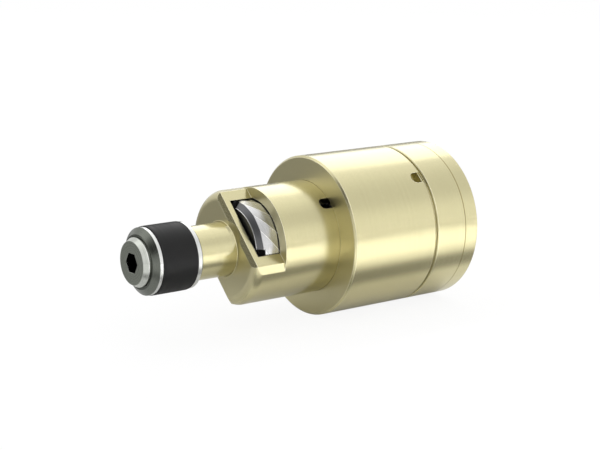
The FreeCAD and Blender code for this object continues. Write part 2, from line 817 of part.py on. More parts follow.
def make_retaining_ring():
    """Internal retaining ring that keeps the bulkhead and the front body in the barrel."""
    outer = bore_radius + size.clip_groove_depth - size.running_fit
    inner = outer - size.clip_height
    body = turned_piece(
        "retaining_ring",
        clip_front,
        [(inner, 0), (outer, 0), (outer, size.clip_thickness), (inner, size.clip_thickness)],
        size.clocking,
    )
    gap = new_sketch(body, "clip_gap", "XZ_Plane")
    half = size.clip_gap / 2
    draw_outline(
        gap,
        [
            (-half, -outer - size.overrun),
            (half, -outer - size.overrun),
            (half, -inner + size.overrun),
            (-half, -inner + size.overrun),
        ],
    )
    pocket(body, gap, size.clip_thickness)
    lug_x = half + size.clip_lug_radius
    lug_z = -inner + size.clip_lug_radius / 2
    for side, name in ((-1, "left"), (1, "right")):
        lug = new_sketch(body, name + "_lug", "XZ_Plane")
        draw_circle(lug, lug_x * side, lug_z, size.clip_lug_radius)
        pad(body, lug, size.clip_thickness)
        drill(body, name + "_eye", lug_x * side, lug_z, size.clip_eye_radius, 0, size.clip_thickness)
    return body


def make_bush(label, front, bore, radius, length):
    """A plain bearing bush with bevelled outer rims."""
    rim = size.rim_bevel
    return turned_piece(
        label,
        front,
        [
            (bore, 0),
            (radius - rim, 0),
            (radius, rim),
            (radius, length - rim),
            (radius - rim, length),
            (bore, length),
        ],
    )


def make_rear_washer():
    """Rear pressure washer: the fixed wall behind the rubber sleeve."""
    thickness = size.rear_washer_thickness
    counterbore = nose_bush_radius + size.seated_fit
    return turned_piece(
        "rear_washer",
        rear_washer_front,
        [
            (clear_hole, 0),
            (size.washer_radius, 0),
            (size.washer_radius, thickness - size.rear_washer_bevel),
            (size.washer_radius - size.rear_washer_bevel, thickness),
            (counterbore, thickness),
            (counterbore, thickness - size.nose_bush_lead),
            (clear_hole, thickness - size.nose_bush_lead),
        ],
    )


def make_seal_sleeve():
    """Rubber sleeve that swells when the washers squeeze it."""
    rim = size.seal_rim
    return turned_piece(
        "seal_sleeve",
        seal_front,
        [
            (clear_hole, 0),
            (size.seal_radius - rim, 0),
            (size.seal_radius, rim),
            (size.seal_radius, size.seal_length - rim),
            (size.seal_radius - rim, size.seal_length),
            (clear_hole, size.seal_length),
        ],
    )


def make_front_washer():
    """Front pressure washer: pushed back by the seal bolt, it squeezes the rubber sleeve."""
    length = front_washer_length
    pocket_radius = size.tube_radius + size.seated_fit
    ring_room = bolt_hole + size.bolt_seal_wire
    return turned_piece(
        "front_washer",
        front_washer_front,
        [
            (ring_room, 0),
            (size.front_washer_face, 0),
            (size.washer_radius, size.front_washer_cone),
            (size.washer_radius, length),
            (pocket_radius, length),
            (pocket_radius, length - size.tube_seat_depth),
            (bolt_hole, length - size.tube_seat_depth),
            (bolt_hole, size.bolt_seal_wire),
            (ring_room, size.bolt_seal_wire),
        ],
    )


def make_seal_bolt():
    """Hollow seal bolt: its passage lets the test medium out at the nose."""
    head = size.bolt_head_length
    shank = head + size.bolt_shank_length
    cut = size.bolt_undercut
    body = turned_piece(
        "seal_bolt",
        bolt_front,
        [
            (size.bolt_bore, 0),
            (size.bolt_head_front, 0),
            (size.bolt_head_rear, head - cut * 2),
            (size.bolt_head_rear, head - cut),
            (size.bolt_head_rear - cut, head - cut),
            (size.bolt_head_rear - cut, head),
            (size.bolt_thread, head),
            (size.bolt_thread, shank),
            (size.bolt_bore, shank),
        ],
    )
    socket = new_sketch(body, "bolt_socket", "XZ_Plane")
    draw_outline(socket, hexagon(size.socket_width))
    pocket(body, socket, size.socket_depth)
    return body


def make_draw_tube():
    """Draw tube: pulls the seal bolt back and carries the test medium from the media port."""
    shoulder = tube_front - piston_front
    rear = tube_front - size.tail_end
    thread = size.bolt_thread + size.seated_fit
    thread_end = size.bolt_shank_length
    body = turned_piece(
        "draw_tube",
        tube_front,
        [
            (thread, 0),
            (size.tube_radius - size.rim_bevel, 0),
            (size.tube_radius, size.rim_bevel),
            (size.tube_radius, shoulder),
            (size.tail_radius, shoulder),
            (size.tail_radius, rear - size.rim_bevel),
            (size.tail_radius - size.rim_bevel, rear),
            (size.tube_bore, rear),
            (size.tube_bore, thread_end),
            (thread, thread_end),
        ],
        size.clocking,
    )
    keyway = new_sketch(body, "keyway", "XY_Plane", size.tube_radius - size.keyway_depth)
    start = tube_front - seat_front - size.keyway_ahead
    draw_slot(keyway, size.keyway_width, start, start + size.keyway_length)
    pocket(body, keyway, size.tube_radius, backwards=True)
    return body


def make_adjusting_ring():
    """Adjusting ring: a round nut on the draw tube, turned by a finger through the windows.

    Its grip is a twisted prism: slanted flat facets that meet in sharp lines.
    """
    length = size.ring_length
    radius = size.ring_radius
    face = radius - size.ring_cone_drop
    bevel = size.ring_bevel
    body = new_body("adjusting_ring", ring_front)
    sections = [ring_section(body, step) for step in range(RING_SECTIONS)]
    blank = body.newObject("PartDesign::AdditiveLoft", "ring_blank")
    blank.Profile = sections[0]
    blank.Sections = sections[1:]
    doc.recompute()
    outside = radius + size.overrun
    cone = size.ring_cone_length
    front = [(face, 0), (outside, 0), (outside, cone), (radius, cone)]
    cut_checked(body, lambda: add_turning(body, "ring_cone", front, "PartDesign::Groove"))
    start = length - bevel
    rear = [(radius - bevel, length), (outside, length), (outside, start), (radius, start)]
    cut_checked(body, lambda: add_turning(body, "ring_rear", rear, "PartDesign::Groove"))
    drill(body, "ring_bore", 0, 0, tube_hole, 0, length)
    slot = new_sketch(body, "spanner_slot", "XZ_Plane")
    half = size.spanner_slot / 2
    draw_outline(
        slot,
        [
            (-half, face - size.spanner_slot_depth),
            (half, face - size.spanner_slot_depth),
            (half, outside),
            (-half, outside),
        ],
    )
    cut = pocket(body, slot, size.spanner_slot_depth)
    repeat_round(body, [cut], size.spanner_slots)
    return body


def ring_section(body, step):
    """One of the blank's sections, turned by its share of the facets' lead."""
    along = size.ring_length * (step / (RING_SECTIONS - 1))
    sketch = new_sketch(body, "ring_section_%d" % step, "XZ_Plane", -along)
    draw_outline(sketch, polygon(int(size.ring_facets.number), size.ring_radius))
    turn = -(along / size.facet_lead) * 360
    offset = sketch.AttachmentOffset
    offset.Rotation = FreeCAD.Rotation(Vector(0, 0, 1), number(turn))
    sketch.AttachmentOffset = offset
    bind(sketch, "AttachmentOffset.Rotation.Angle", turn)
    return sketch


def make_spring_seat():
    """Spring seat: keyed to the draw tube, so that turning the ring doesn't wind the spring."""
    thickness = size.seat_thickness
    guide = thickness + size.spring_guide_length
    body = turned_piece(
        "spring_seat",
        seat_front,
        [
            (tube_hole, 0),
            (size.seat_radius, 0),
            (size.seat_radius, thickness),
            (spring_guide_radius, thickness),
            (spring_guide_radius, guide),
            (tube_hole, guide),
        ],
        size.clocking,
    )
    key = new_sketch(body, "seat_key", "XZ_Plane")
    half = size.key_width / 2
    floor = size.tube_radius - size.keyway_depth + size.loose_fit
    draw_outline(
        key,
        [
            (-half, floor),
            (half, floor),
            (half, tube_hole + size.overrun),
            (-half, tube_hole + size.overrun),
        ],
    )
    pad(body, key, thickness)
    return body


def make_return_spring():
    """Return spring: a round wire coil whose ends are ground flat."""
    body = new_body("return_spring", spring_front)
    sketch = new_sketch(body, "spring_wire_section", "XY_Plane")
    draw_outline(sketch, wire_section(size.spring_wire, size.spring_mean_radius, 0))
    coil = body.newObject("PartDesign::AdditiveHelix", "spring_coil")
    coil.Profile = sketch
    coil.ReferenceAxis = (sketch, ["V_Axis"])
    coil.Mode = "height-turns-angle"
    coil.Angle = 0
    coil.Growth = 0
    bind(coil, "Height", spring_length)
    bind(coil, "Turns", size.spring_turns)
    doc.recompute()
    outer = size.spring_mean_radius + size.spring_wire
    for name, low, high in (
        ("front_grind", -size.spring_wire, measure(0)),
        ("rear_grind", spring_length, spring_length + size.spring_wire),
    ):
        groove(body, name, size.spring_mean_radius - size.spring_wire, outer, low, high)
    return body


def make_piston():
    """Piston: drive air in front of it pushes it back."""
    length = size.piston_length
    bevel = size.piston_bevel
    radius = bore_radius - size.piston_fit
    recess = size.nut_height + size.end_float
    nut_recess_radius = size.nut_width / math.sqrt(3) + size.nut_room
    body = turned_piece(
        "piston",
        piston_front,
        [
            (size.tail_radius + size.seated_fit, 0),
            (radius - bevel, 0),
            (radius, bevel),
            (radius, length - bevel),
            (radius - bevel, length),
            (nut_recess_radius, length),
            (nut_recess_radius, length - recess),
            (size.tail_radius + size.seated_fit, length - recess),
        ],
        size.clocking,
    )
    seal = size.piston_seal_place
    groove(
        body,
        "piston_seal_groove",
        bore_radius - size.piston_seal_wire,
        bore_radius + size.overrun,
        seal,
        seal + size.piston_seal_wire * size.groove_share,
    )
    guide = size.guide_place
    groove(
        body,
        "piston_guide_groove",
        bore_radius - size.running_fit - size.guide_thickness,
        bore_radius + size.overrun,
        guide,
        guide + size.guide_width + size.end_float * 2,
    )
    air_x, air_z = air_way_spot()
    drill(body, "piston_air_hole", air_x, air_z, size.air_tube_radius + size.running_fit, 0, length)
    drill(body, "air_seal_groove", air_x, air_z, size.air_tube_radius + size.air_seal_wire,
          length / 2, size.air_seal_wire * size.groove_share)
    return body


def make_piston_nut():
    """Thin nut that holds the piston on the draw tube."""
    height = size.nut_height
    body = new_body("piston_nut", piston_rear + height, size.clocking)
    sketch = new_sketch(body, "nut_outline", "XZ_Plane")
    draw_outline(sketch, hexagon(size.nut_width))
    pad(body, sketch, height)
    drill(body, "nut_thread", 0, 0, size.tail_radius + size.seated_fit, 0, height)
    return body


def make_air_tube():
    """Air tube: leads the drive air through the piston, and keeps the piston from turning."""
    length = air_tube_front - cap_front + size.air_tube_seat
    body = turned_piece(
        "air_tube",
        air_tube_front,
        [
            (size.air_tube_bore, 0),
            (size.air_tube_radius - size.rim_bevel, 0),
            (size.air_tube_radius, size.rim_bevel),
            (size.air_tube_radius, length),
            (size.air_tube_bore, length),
        ],
    )
    move_to_air_way(body)
    return body


def make_pin():
    """Dowel between the barrel's front wall and the front body's flange."""
    pin = doc.addObject("Part::Cylinder", "body_pin")
    pin.Label = "body_pin"
    bind(pin, "Radius", pin_radius - size.seated_fit)
    bind(pin, "Height", size.pin_length - size.end_float)
    pin.Placement = FreeCAD.Placement(Vector(0, 0, 0), FreeCAD.Rotation(Vector(1, 0, 0), 90))
    bind(pin, "Placement.Base.x", -pin_place * sine(size.clocking))
    bind(pin, "Placement.Base.z", -pin_place * cosine(size.clocking))
    bind(pin, "Placement.Base.y", -bulkhead_flange_front - size.end_float)
    return pin


def make_seal_rings():
    """The rubber rings, each in the middle of its groove."""
    rod = size.rod_seal_wire
    rod_groove = rod * size.groove_share
    rod_front = clip_front + size.rod_bush_length + size.seal_land + rod_groove
    tail_front = tail_boss_front - size.tail_bush_length - size.seal_land
    static = size.static_seal_wire
    static_front = clip_front + (size.bulkhead_flange + static * size.groove_share) / 2
    ring = size.piston_seal_wire
    small = size.air_seal_wire
    fit = size.running_fit
    return [
        seal_ring("rod_seal", size.tube_radius + (rod + fit) / 2, rod - fit,
                  rod_front - groove_side(rod)),
        seal_ring("tail_seal", size.tail_radius + (rod + fit) / 2, rod - fit,
                  tail_front - groove_side(rod)),
        seal_ring("bulkhead_seal", bore_radius - static / 2, static,
                  static_front - groove_side(static)),
        seal_ring("bolt_seal", bolt_hole + size.bolt_seal_wire / 2, size.bolt_seal_wire,
                  front_washer_front, sides=FACE_SEAL_SIDES),
        seal_ring("piston_seal", bore_radius - (ring + fit) / 2, ring - fit,
                  piston_front - size.piston_seal_place - groove_side(ring)),
        seal_ring("air_tube_seal", size.air_tube_radius + (small + fit) / 2, small - fit,
                  piston_front - size.piston_length / 2 - groove_side(small), air_place),
        seal_ring("port_seal", size.port_seal_radius, size.port_seal_wire,
                  size.end_plate_thickness + size.port_seal_wire, air_place, FACE_SEAL_SIDES),
    ]


def groove_side(wire):
    """The room on each side of a seal ring in its groove."""
    return wire * (size.groove_share - 1) / 2


def make_guide_ring():
    """Plastic guide ring round the piston."""
    outer = bore_radius - size.running_fit
    return turned_piece(
        "piston_guide_ring",
        piston_front - size.guide_place - size.end_float,
        [
            (outer - size.guide_thickness, 0),
            (outer, 0),
            (outer, size.guide_width),
            (outer - size.guide_thickness, size.guide_width),
        ],
    )


pieces = [
    make_front_body(),
    make_barrel(),
    make_rear_cap(),
    make_end_plate(),
    make_end_plate_screws(),
    make_bulkhead(),
    make_retaining_ring(),
    make_bush("nose_bush", neck_front + size.nose_bush_lead, tube_hole,
              nose_bush_radius - size.seated_fit, size.nose_bush_length),
    make_bush("rod_bush", clip_front + size.rod_bush_length, tube_hole,
              nose_bush_radius - size.seated_fit, size.rod_bush_length),
    make_bush("tail_bush", tail_boss_front, tail_hole,
              tail_bush_radius - size.seated_fit, size.tail_bush_length),
    make_rear_washer(),
    make_seal_sleeve(),
    make_front_washer(),
    make_seal_bolt(),
    make_draw_tube(),
    make_adjusting_ring(),
    make_spring_seat(),
    make_return_spring(),
    make_piston(),
    make_piston_nut(),
    make_guide_ring(),
    make_air_tube(),
    make_pin(),
] + make_seal_rings()

doc.recompute()
for item in doc.Objects:
    if "Invalid" in item.State or "Error" in item.State:
        raise RuntimeError(item.Name + " failed to build")
for piece in pieces:
    if piece.Shape.isNull() or not piece.Shape.isValid():
        raise RuntimeError(piece.Label + " has no valid shape")

os.makedirs("parts", exist_ok=True)
for piece in pieces:
    piece.Shape.exportStep(os.path.join("parts", piece.Label + ".step"))
print(len(pieces), "pieces written")
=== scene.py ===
# %% [markdown]
# # An expansion quick connector, dressed in Blender
#
# The connector is a satin, pale gold test plug. Its rubber sleeve goes into a smooth port, air pulls the
# nose back, and the squeezed sleeve seals the port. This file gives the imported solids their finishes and
# makes anew what they show too plainly: the rubber, the spring's wire, the faceted ring and the screw
# threads. Then it lights the result like a plain product photograph. Lengths are metres, the axis is Y
# and the nose points to -Y.

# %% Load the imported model
import json
import math

import bpy
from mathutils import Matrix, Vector


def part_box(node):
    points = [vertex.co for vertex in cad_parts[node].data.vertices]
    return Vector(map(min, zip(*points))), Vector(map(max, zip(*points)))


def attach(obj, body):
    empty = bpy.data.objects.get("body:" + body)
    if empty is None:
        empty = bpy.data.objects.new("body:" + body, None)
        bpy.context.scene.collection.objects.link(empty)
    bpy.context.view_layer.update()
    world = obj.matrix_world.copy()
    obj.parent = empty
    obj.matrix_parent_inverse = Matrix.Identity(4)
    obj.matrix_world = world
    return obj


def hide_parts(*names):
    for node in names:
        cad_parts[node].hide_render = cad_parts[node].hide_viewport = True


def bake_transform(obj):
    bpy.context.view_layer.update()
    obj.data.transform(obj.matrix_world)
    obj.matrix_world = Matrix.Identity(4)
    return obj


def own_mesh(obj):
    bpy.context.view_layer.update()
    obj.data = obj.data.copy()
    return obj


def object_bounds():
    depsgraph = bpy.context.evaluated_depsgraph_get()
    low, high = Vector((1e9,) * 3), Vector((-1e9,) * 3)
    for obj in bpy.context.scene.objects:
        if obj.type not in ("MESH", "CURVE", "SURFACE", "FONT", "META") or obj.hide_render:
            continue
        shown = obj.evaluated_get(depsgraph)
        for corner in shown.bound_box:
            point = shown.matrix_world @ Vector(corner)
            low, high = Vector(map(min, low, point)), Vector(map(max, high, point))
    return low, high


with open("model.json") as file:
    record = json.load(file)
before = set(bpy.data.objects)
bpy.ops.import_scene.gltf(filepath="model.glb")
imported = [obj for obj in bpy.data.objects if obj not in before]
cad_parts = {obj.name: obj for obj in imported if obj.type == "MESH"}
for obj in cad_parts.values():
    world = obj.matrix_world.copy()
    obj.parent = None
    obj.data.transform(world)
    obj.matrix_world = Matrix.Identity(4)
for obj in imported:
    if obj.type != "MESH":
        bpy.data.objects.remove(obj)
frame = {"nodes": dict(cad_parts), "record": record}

nodes = frame["nodes"]
record = frame["record"]
cad_box = [list(corner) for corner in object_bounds()]
MM = 0.001
print(len(nodes), "solids, from", cad_box[0], "to", cad_box[1])

# %% [markdown]
# ## Measuring before making
#
# A part that has been modelled once needn't be measured again by hand. Wherever the box of a solid gives
# a size or a place, it is read from there, so that a changed solid carries its finish and its trim with
# it. The two helpers give a turned solid's ends along the axis and its largest radius.


# %% Helpers that read the solids
def ends(node):
    """The front and rear end of a solid along the axis."""
    low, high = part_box(node)
    return low.y, high.y


def radius(node):
    """The outer radius of a solid turned round the axis."""
    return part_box(node)[1].x


sleeve_front, sleeve_rear = ends("seal_sleeve")
print("sleeve from", round(sleeve_front / MM, 2), "to", round(sleeve_rear / MM, 2), "mm")

# %% [markdown]
# ## Writing shaders in short sentences
#
# A shader is a chain of small sums, and long node code hides that. The two classes below keep one
# material's tree and let the recipes further down read like sentences: take the noise, multiply it, feed
# it to the bump. The first class adds nodes, joins them and does the sums. Plain numbers go straight to a
# socket, and only what varies over the surface is linked.


# %% Sums in a node tree
class Sums:
    """One node tree, with short ways to add its nodes and to do sums with them."""

    def __init__(self, tree):
        self.tree = tree
        self.tree.nodes.clear()

    def add(self, kind, **settings):
        node = self.tree.nodes.new("ShaderNode" + kind)
        for name, value in settings.items():
            setattr(node, name, value)
        return node

    def feed(self, socket, value):
        """Puts a number, a colour or another node's output into a socket."""
        if isinstance(value, bpy.types.NodeSocket):
            self.tree.links.new(value, socket)
        else:
            socket.default_value = value

    def math(self, operation, first, second=0.0):
        node = self.add("Math", operation=operation)
        self.feed(node.inputs[0], first)
        self.feed(node.inputs[1], second)
        return node.outputs[0]

    def vector_math(self, operation, first, second=(0.0, 0.0, 0.0)):
        node = self.add("VectorMath", operation=operation)
        self.feed(node.inputs[0], first)
        self.feed(node.inputs[1], second)
        return node.outputs["Value" if operation == "DOT_PRODUCT" else "Vector"]

    def join(self, x, y, z):
        """A vector made of three numbers."""
        node = self.add("CombineXYZ")
        for socket, value in zip(node.inputs, (x, y, z)):
            self.feed(socket, value)
        return node.outputs[0]

    def split(self, vector):
        """The three numbers of a vector."""
        node = self.add("SeparateXYZ")
        self.feed(node.inputs[0], vector)
        return node.outputs

    def grey(self, level):
        """A grey colour of that level."""
        node = self.add("CombineColor")
        for socket in node.inputs:
            self.feed(socket, level)
        return node.outputs[0]

    def place(self):
        """The shaded point in the object's own metres."""
        return self.add("TexCoord").outputs["Object"]


# %% [markdown]
# ## Textures, masks and mixtures
#
# A finish needs a few things again and again: a noise, a number fitted to another range, a mixture of two
# colours or of two directions, and a relief that bends the normal. The second class adds them to the
# first, so that a recipe has one tree to ask for everything.


# %% Textures, masks and mixtures
class Tree(Sums):
    """A node tree that also makes textures, masks and mixtures."""

    def noise(self, vector, scale, detail=2.0):
        node = self.add("TexNoise")
        self.feed(node.inputs["Vector"], vector)
        node.inputs["Scale"].default_value = scale
        node.inputs["Detail"].default_value = detail
        return node.outputs["Fac"]

    def fit(self, value, low, high, to_low=0.0, to_high=1.0, smooth=True):
        """Maps low..high to to_low..to_high and stops at both ends."""
        kind = "SMOOTHSTEP" if smooth else "LINEAR"
        node = self.add("MapRange", interpolation_type=kind, clamp=True)
        names = ("Value", "From Min", "From Max", "To Min", "To Max")
        for name, number in zip(names, (value, low, high, to_low, to_high)):
            self.feed(node.inputs[name], number)
        return node.outputs["Result"]

    def mix(self, share, first, second):
        """A colour between two colours, each red, green and blue or another node's output."""
        node = self.add("Mix", data_type="RGBA")
        self.feed(node.inputs["Factor"], share)
        for name, colour in (("A", first), ("B", second)):
            self.feed(node.inputs[name], (*colour, 1.0) if isinstance(colour, tuple) else colour)
        return node.outputs["Result"]

    def choose(self, share, first, second):
        """A direction between two directions."""
        node = self.add("Mix", data_type="VECTOR")
        self.feed(node.inputs["Factor"], share)
        vectors = [socket for socket in node.inputs if socket.type == "VECTOR"]
        self.feed(vectors[-2], first)
        self.feed(vectors[-1], second)
        return [socket for socket in node.outputs if socket.type == "VECTOR"][0]

    def bump(self, height, distance, strength, normal=None):
        """The normal of a surface with that relief on it."""
        node = self.add("Bump")
        node.inputs["Strength"].default_value = strength
        node.inputs["Distance"].default_value = distance
        self.feed(node.inputs["Height"], height)
        if normal is not None:
            self.feed(node.inputs["Normal"], normal)
        return node.outputs["Normal"]


# %% [markdown]
# ## One shader to start from
#
# Every finish here starts from the principled shader, which stands for metal, rubber and plastic alike.
# What is the same all over a surface is set on it directly, because an exported model drops some values
# that reach the shader through other nodes.


# %% A new material
def new_surface(name, colour, metallic, roughness):
    """A material with a principled shader, its tree and that shader."""
    material = bpy.data.materials.new(name)
    material.use_nodes = True
    tree = Tree(material.node_tree)
    shader = tree.add("BsdfPrincipled")
    output = tree.add("OutputMaterial")
    tree.feed(output.inputs["Surface"], shader.outputs[0])
    shader.inputs["Base Color"].default_value = (*colour, 1.0)
    shader.inputs["Metallic"].default_value = metallic
    shader.inputs["Roughness"].default_value = roughness
    return material, tree, shader


# %% [markdown]
# ## The lathe's own coordinates
#
# Nearly every piece here was turned, and a lathe leaves its marks as circles round the axis: fine steps
# along a cylinder and fine rings on a face. A texture that knows only x, y and z can't follow them. The
# radius, the place along the axis and the angle can, so they are worked out for each material. The
# angle is given a tiny share, so that the marks change slowly on their way round.


# %% Radius, place and angle of a point
MARK_DRIFT = 0.02 * MM


def lathe_place(tree):
    """The radius, the place along the axis and the angle of the shaded point."""
    x, y, z = tree.split(tree.place())
    squares = tree.math("ADD", tree.math("MULTIPLY", x, x), tree.math("MULTIPLY", z, z))
    return tree.math("SQRT", squares), y, tree.math("ARCTAN2", z, x)


def turned_marks(tree, pitch):
    """Fine marks of about that pitch along and across a turned surface, and broad waves in them."""
    radial, along, angle = lathe_place(tree)
    spot = tree.join(radial, along, tree.math("MULTIPLY", angle, MARK_DRIFT))
    fine = tree.noise(spot, 1 / pitch, detail=3.0)
    broad = tree.noise(spot, 0.12 / pitch, detail=1.0)
    return fine, broad


# %% [markdown]
# ## Rims, flat ends and joints as masks
#
# A real rim is never quite sharp, a flat end is cut by another tool than a round side, and two pieces
# screwed together leave a hairline joint. A finish can ask about each of these for the shaded point and
# use the answer, from 0 to 1, as a mask. The rim's answer comes from the Bevel node: where the normal that
# it has rounded no longer agrees with the true one, there is a rim.


# %% Rims, flat ends and joints
def round_edges(tree, reach):
    """The normal, rounded within that reach of an edge."""
    node = tree.add("Bevel", samples=6)
    node.inputs["Radius"].default_value = reach
    return node.outputs["Normal"]


def rim_mask(tree, rounded_normal):
    """1 on a rounded rim, 0 on the open surface: how far rounding has turned the normal there."""
    agreement = tree.vector_math("DOT_PRODUCT", tree.add("NewGeometry").outputs["Normal"], rounded_normal)
    return tree.fit(agreement, 0.90, 0.999, 1.0, 0.0)


def facing(tree, first=0.6, last=0.95):
    """1 on the flat ends that look along the axis, 0 on the round sides."""
    _, along, _ = tree.split(tree.add("TexCoord").outputs["Normal"])
    return tree.fit(tree.math("ABSOLUTE", along), first, last)


def seam(tree, place, half):
    """1 in a hairline joint round the axis at that place, 0 beside it."""
    _, along, _ = lathe_place(tree)
    away = tree.math("ABSOLUTE", tree.math("SUBTRACT", along, place))
    return tree.fit(away, half * 0.5, half, 1.0, 0.0)


# %% [markdown]
# ## The neck's tight root
#
# On the real body the neck meets the face in a tight corner, while the solid has a wider rounding there.
# A finish can't move the surface, but it can light the rounding as if it were square: nearer to the neck
# it gets the neck's normal, nearer to the face the face's own. Between them the normal turns within a
# few tenths of a millimetre, which leaves a thin line of light.


# %% Tight root
NECK_RADIUS = 8.65 * MM
BODY_FACE = -86.0 * MM
ROOT_REACH = 1.6 * MM
ROOT_TURN = 0.3 * MM


def neck_root(tree):
    """1 on the root's rounding, and 1 where a point there is nearer to the face than to the neck."""
    radial, along, _ = lathe_place(tree)
    above = tree.math("SUBTRACT", radial, NECK_RADIUS)
    before = tree.math("SUBTRACT", BODY_FACE, along)
    near = [tree.math("LESS_THAN", away, ROOT_REACH) for away in (above, before)]
    on_face = tree.fit(tree.math("SUBTRACT", above, before), -ROOT_TURN, ROOT_TURN)
    return tree.math("MULTIPLY", *near), on_face


def square_normal(tree, normal, inside, on_face):
    """The normal, with the neck's or the face's own in its place on the root."""
    outward = tree.vector_math("NORMALIZE", tree.vector_math("MULTIPLY", tree.place(), (1, 0, 1)))
    corner = tree.choose(on_face, outward, tree.join(0.0, -1.0, 0.0))
    return tree.choose(inside, normal, corner)


print("the root reaches", round(ROOT_REACH / MM, 2), "mm from a neck of", round(NECK_RADIUS / MM, 2), "mm")

# %% [markdown]
# ## Satin gold anodising
#
# The housing is aluminium that was turned, etched matt and anodised in a very pale gold. Under a soft
# light it shows broad, clean bands instead of sparkle, because the etch has rounded the tool marks. So
# the marks stay faint in the bump and show mostly as a small change of gloss. A facing cut leaves a
# coarser spiral than a cut along the cylinder, so flat ends are less glossy than round sides. They are
# also painted darker, which is painted shade and keeps the two apart to the eye. On the rims the gold is
# painted pale, a painted highlight for the thin bright line of light that a real broken edge catches. The
# anodised layer is clear and a little glossier than the metal under it, so it is a coat.


# %% Satin gold
GOLD = (0.645, 0.595, 0.345)
GOLD_DEEP = (0.61, 0.56, 0.32)
# Painted shade: the colour of the flat ends, darker than the round sides.
GOLD_END_SHADE = (0.56, 0.515, 0.30)
GOLD_SPECK = (0.40, 0.37, 0.21)
# Painted highlight: the pale colour of the rims.
GOLD_RIM_HIGHLIGHT = (0.98, 0.94, 0.76)
GOLD_JOINT = (0.30, 0.24, 0.07)
GOLD_PITCH = 0.09 * MM
GOLD_RIM = 0.28 * MM
SIDE_ROUGHNESS, FACE_ROUGHNESS = 0.24, 0.39
JOINT_HALF = 0.22 * MM


def make_gold(name, joint=None, root=False):
    """Satin gold, with a hairline joint at a place along the axis or with the neck's tight root."""
    material, tree, shader = new_surface(name, GOLD, 1.0, SIDE_ROUGHNESS)
    fine, broad = turned_marks(tree, GOLD_PITCH)
    normal = round_edges(tree, GOLD_RIM)
    rims, flat = rim_mask(tree, normal), facing(tree)
    if root:
        inside, on_face = neck_root(tree)
        normal = square_normal(tree, normal, inside, on_face)
        rims = tree.math("MULTIPLY", rims, tree.math("SUBTRACT", 1.0, inside))
        flat = tree.fit(inside, 0.0, 1.0, flat, on_face, smooth=False)
    # Flat ends are painted darker than the round sides: painted shade.
    colour = tree.mix(flat, tree.mix(broad, GOLD, GOLD_DEEP), GOLD_END_SHADE)
    specks = tree.fit(tree.noise(tree.place(), 2.6 / MM), 0.35, 0.65, 0.0, 0.10)
    colour = tree.mix(specks, colour, GOLD_SPECK)
    # The rims are painted pale: a painted highlight for the light that a broken edge catches.
    colour = tree.mix(tree.math("MULTIPLY", rims, 0.7), colour, GOLD_RIM_HIGHLIGHT)
    if joint is not None:
        colour = tree.mix(seam(tree, joint, JOINT_HALF), colour, GOLD_JOINT)
    tree.feed(shader.inputs["Base Color"], colour)
    level = tree.fit(flat, 0.0, 1.0, SIDE_ROUGHNESS, FACE_ROUGHNESS, smooth=False)
    wander = tree.fit(fine, 0.3, 0.7, -0.03, 0.03)
    tree.feed(shader.inputs["Roughness"], tree.math("ADD", level, wander))
    tree.feed(shader.inputs["Normal"], tree.bump(fine, 0.002 * MM, 0.35, normal))
    shader.inputs["Coat Weight"].default_value = 0.42
    shader.inputs["Coat IOR"].default_value = 1.6
    shader.inputs["Coat Roughness"].default_value = 0.18
    tree.feed(shader.inputs["Coat Normal"], normal)
    return material


body_gold = make_gold("body_gold", root=True)
cap_gold = make_gold("cap_gold", joint=ends("end_plate")[0])
print("the hairline joint lies", round(-ends("end_plate")[0] / MM, 2), "mm from the rear face")

# %% [markdown]
# ## Turned steel
#
# The washers, the bolt, the ring and most of the inside are stainless steel, and all come from the same
# lathe. They differ in brightness, in gloss and in how much their flat ends keep of the colour: a flat end
# is painted darker and a little greener than the round side, which is painted shade. The bolt's socket
# lies in deep shade, so behind its front and near its axis the steel is painted nearly black: painted
# shade.


# %% Steel
# Painted shade: the near black inside the bolt's socket.
SOCKET_SHADE = (0.012, 0.012, 0.012)
SOCKET_REACH = 3.7 * MM
SOCKET_START = ends("seal_bolt")[0] + 0.05 * MM
STEEL_RIM = 0.15 * MM


def in_socket(tree):
    """1 inside the bolt's hexagon socket."""
    radial, along, _ = lathe_place(tree)
    behind = tree.math("GREATER_THAN", along, SOCKET_START)
    return tree.math("MULTIPLY", tree.math("LESS_THAN", radial, SOCKET_REACH), behind)


def make_steel(name, colour, roughness, pitch, relief, end_shade=(1, 1, 1), socket=False):
    """Turned steel, whose flat ends keep only the given shares of its red, green and blue: painted shade.
    """
    material, tree, shader = new_surface(name, colour, 1.0, roughness)
    fine, broad = turned_marks(tree, pitch)
    dull = tuple(part * 0.88 for part in colour)
    # Flat ends keep only those shares of the colour: painted shade.
    ends_colour = tuple(part * share for part, share in zip(colour, end_shade))
    shade = tree.mix(facing(tree, 0.3, 0.7), tree.mix(broad, colour, dull), ends_colour)
    if socket:
        # Inside the socket the steel is painted nearly black: painted shade.
        shade = tree.mix(in_socket(tree), shade, SOCKET_SHADE)
    tree.feed(shader.inputs["Base Color"], shade)
    tree.feed(shader.inputs["Roughness"], tree.fit(fine, 0.3, 0.7, roughness - 0.05, roughness + 0.05))
    normal = round_edges(tree, STEEL_RIM)
    tree.feed(shader.inputs["Normal"], tree.bump(fine, 0.003 * MM, relief, normal))
    return material


FINE, COARSE = 0.10 * MM, 0.12 * MM
washer_steel = make_steel("washer_steel", (0.73, 0.74, 0.72), 0.26, FINE, 0.4, end_shade=(0.22, 0.231, 0.2068))
bolt_steel = make_steel("bolt_steel", (0.78, 0.79, 0.76), 0.26, FINE, 0.4, end_shade=(0.5, 0.525, 0.47),
                        socket=True)
print("the socket starts", round(-SOCKET_START / MM, 2), "mm in front of the rear face")

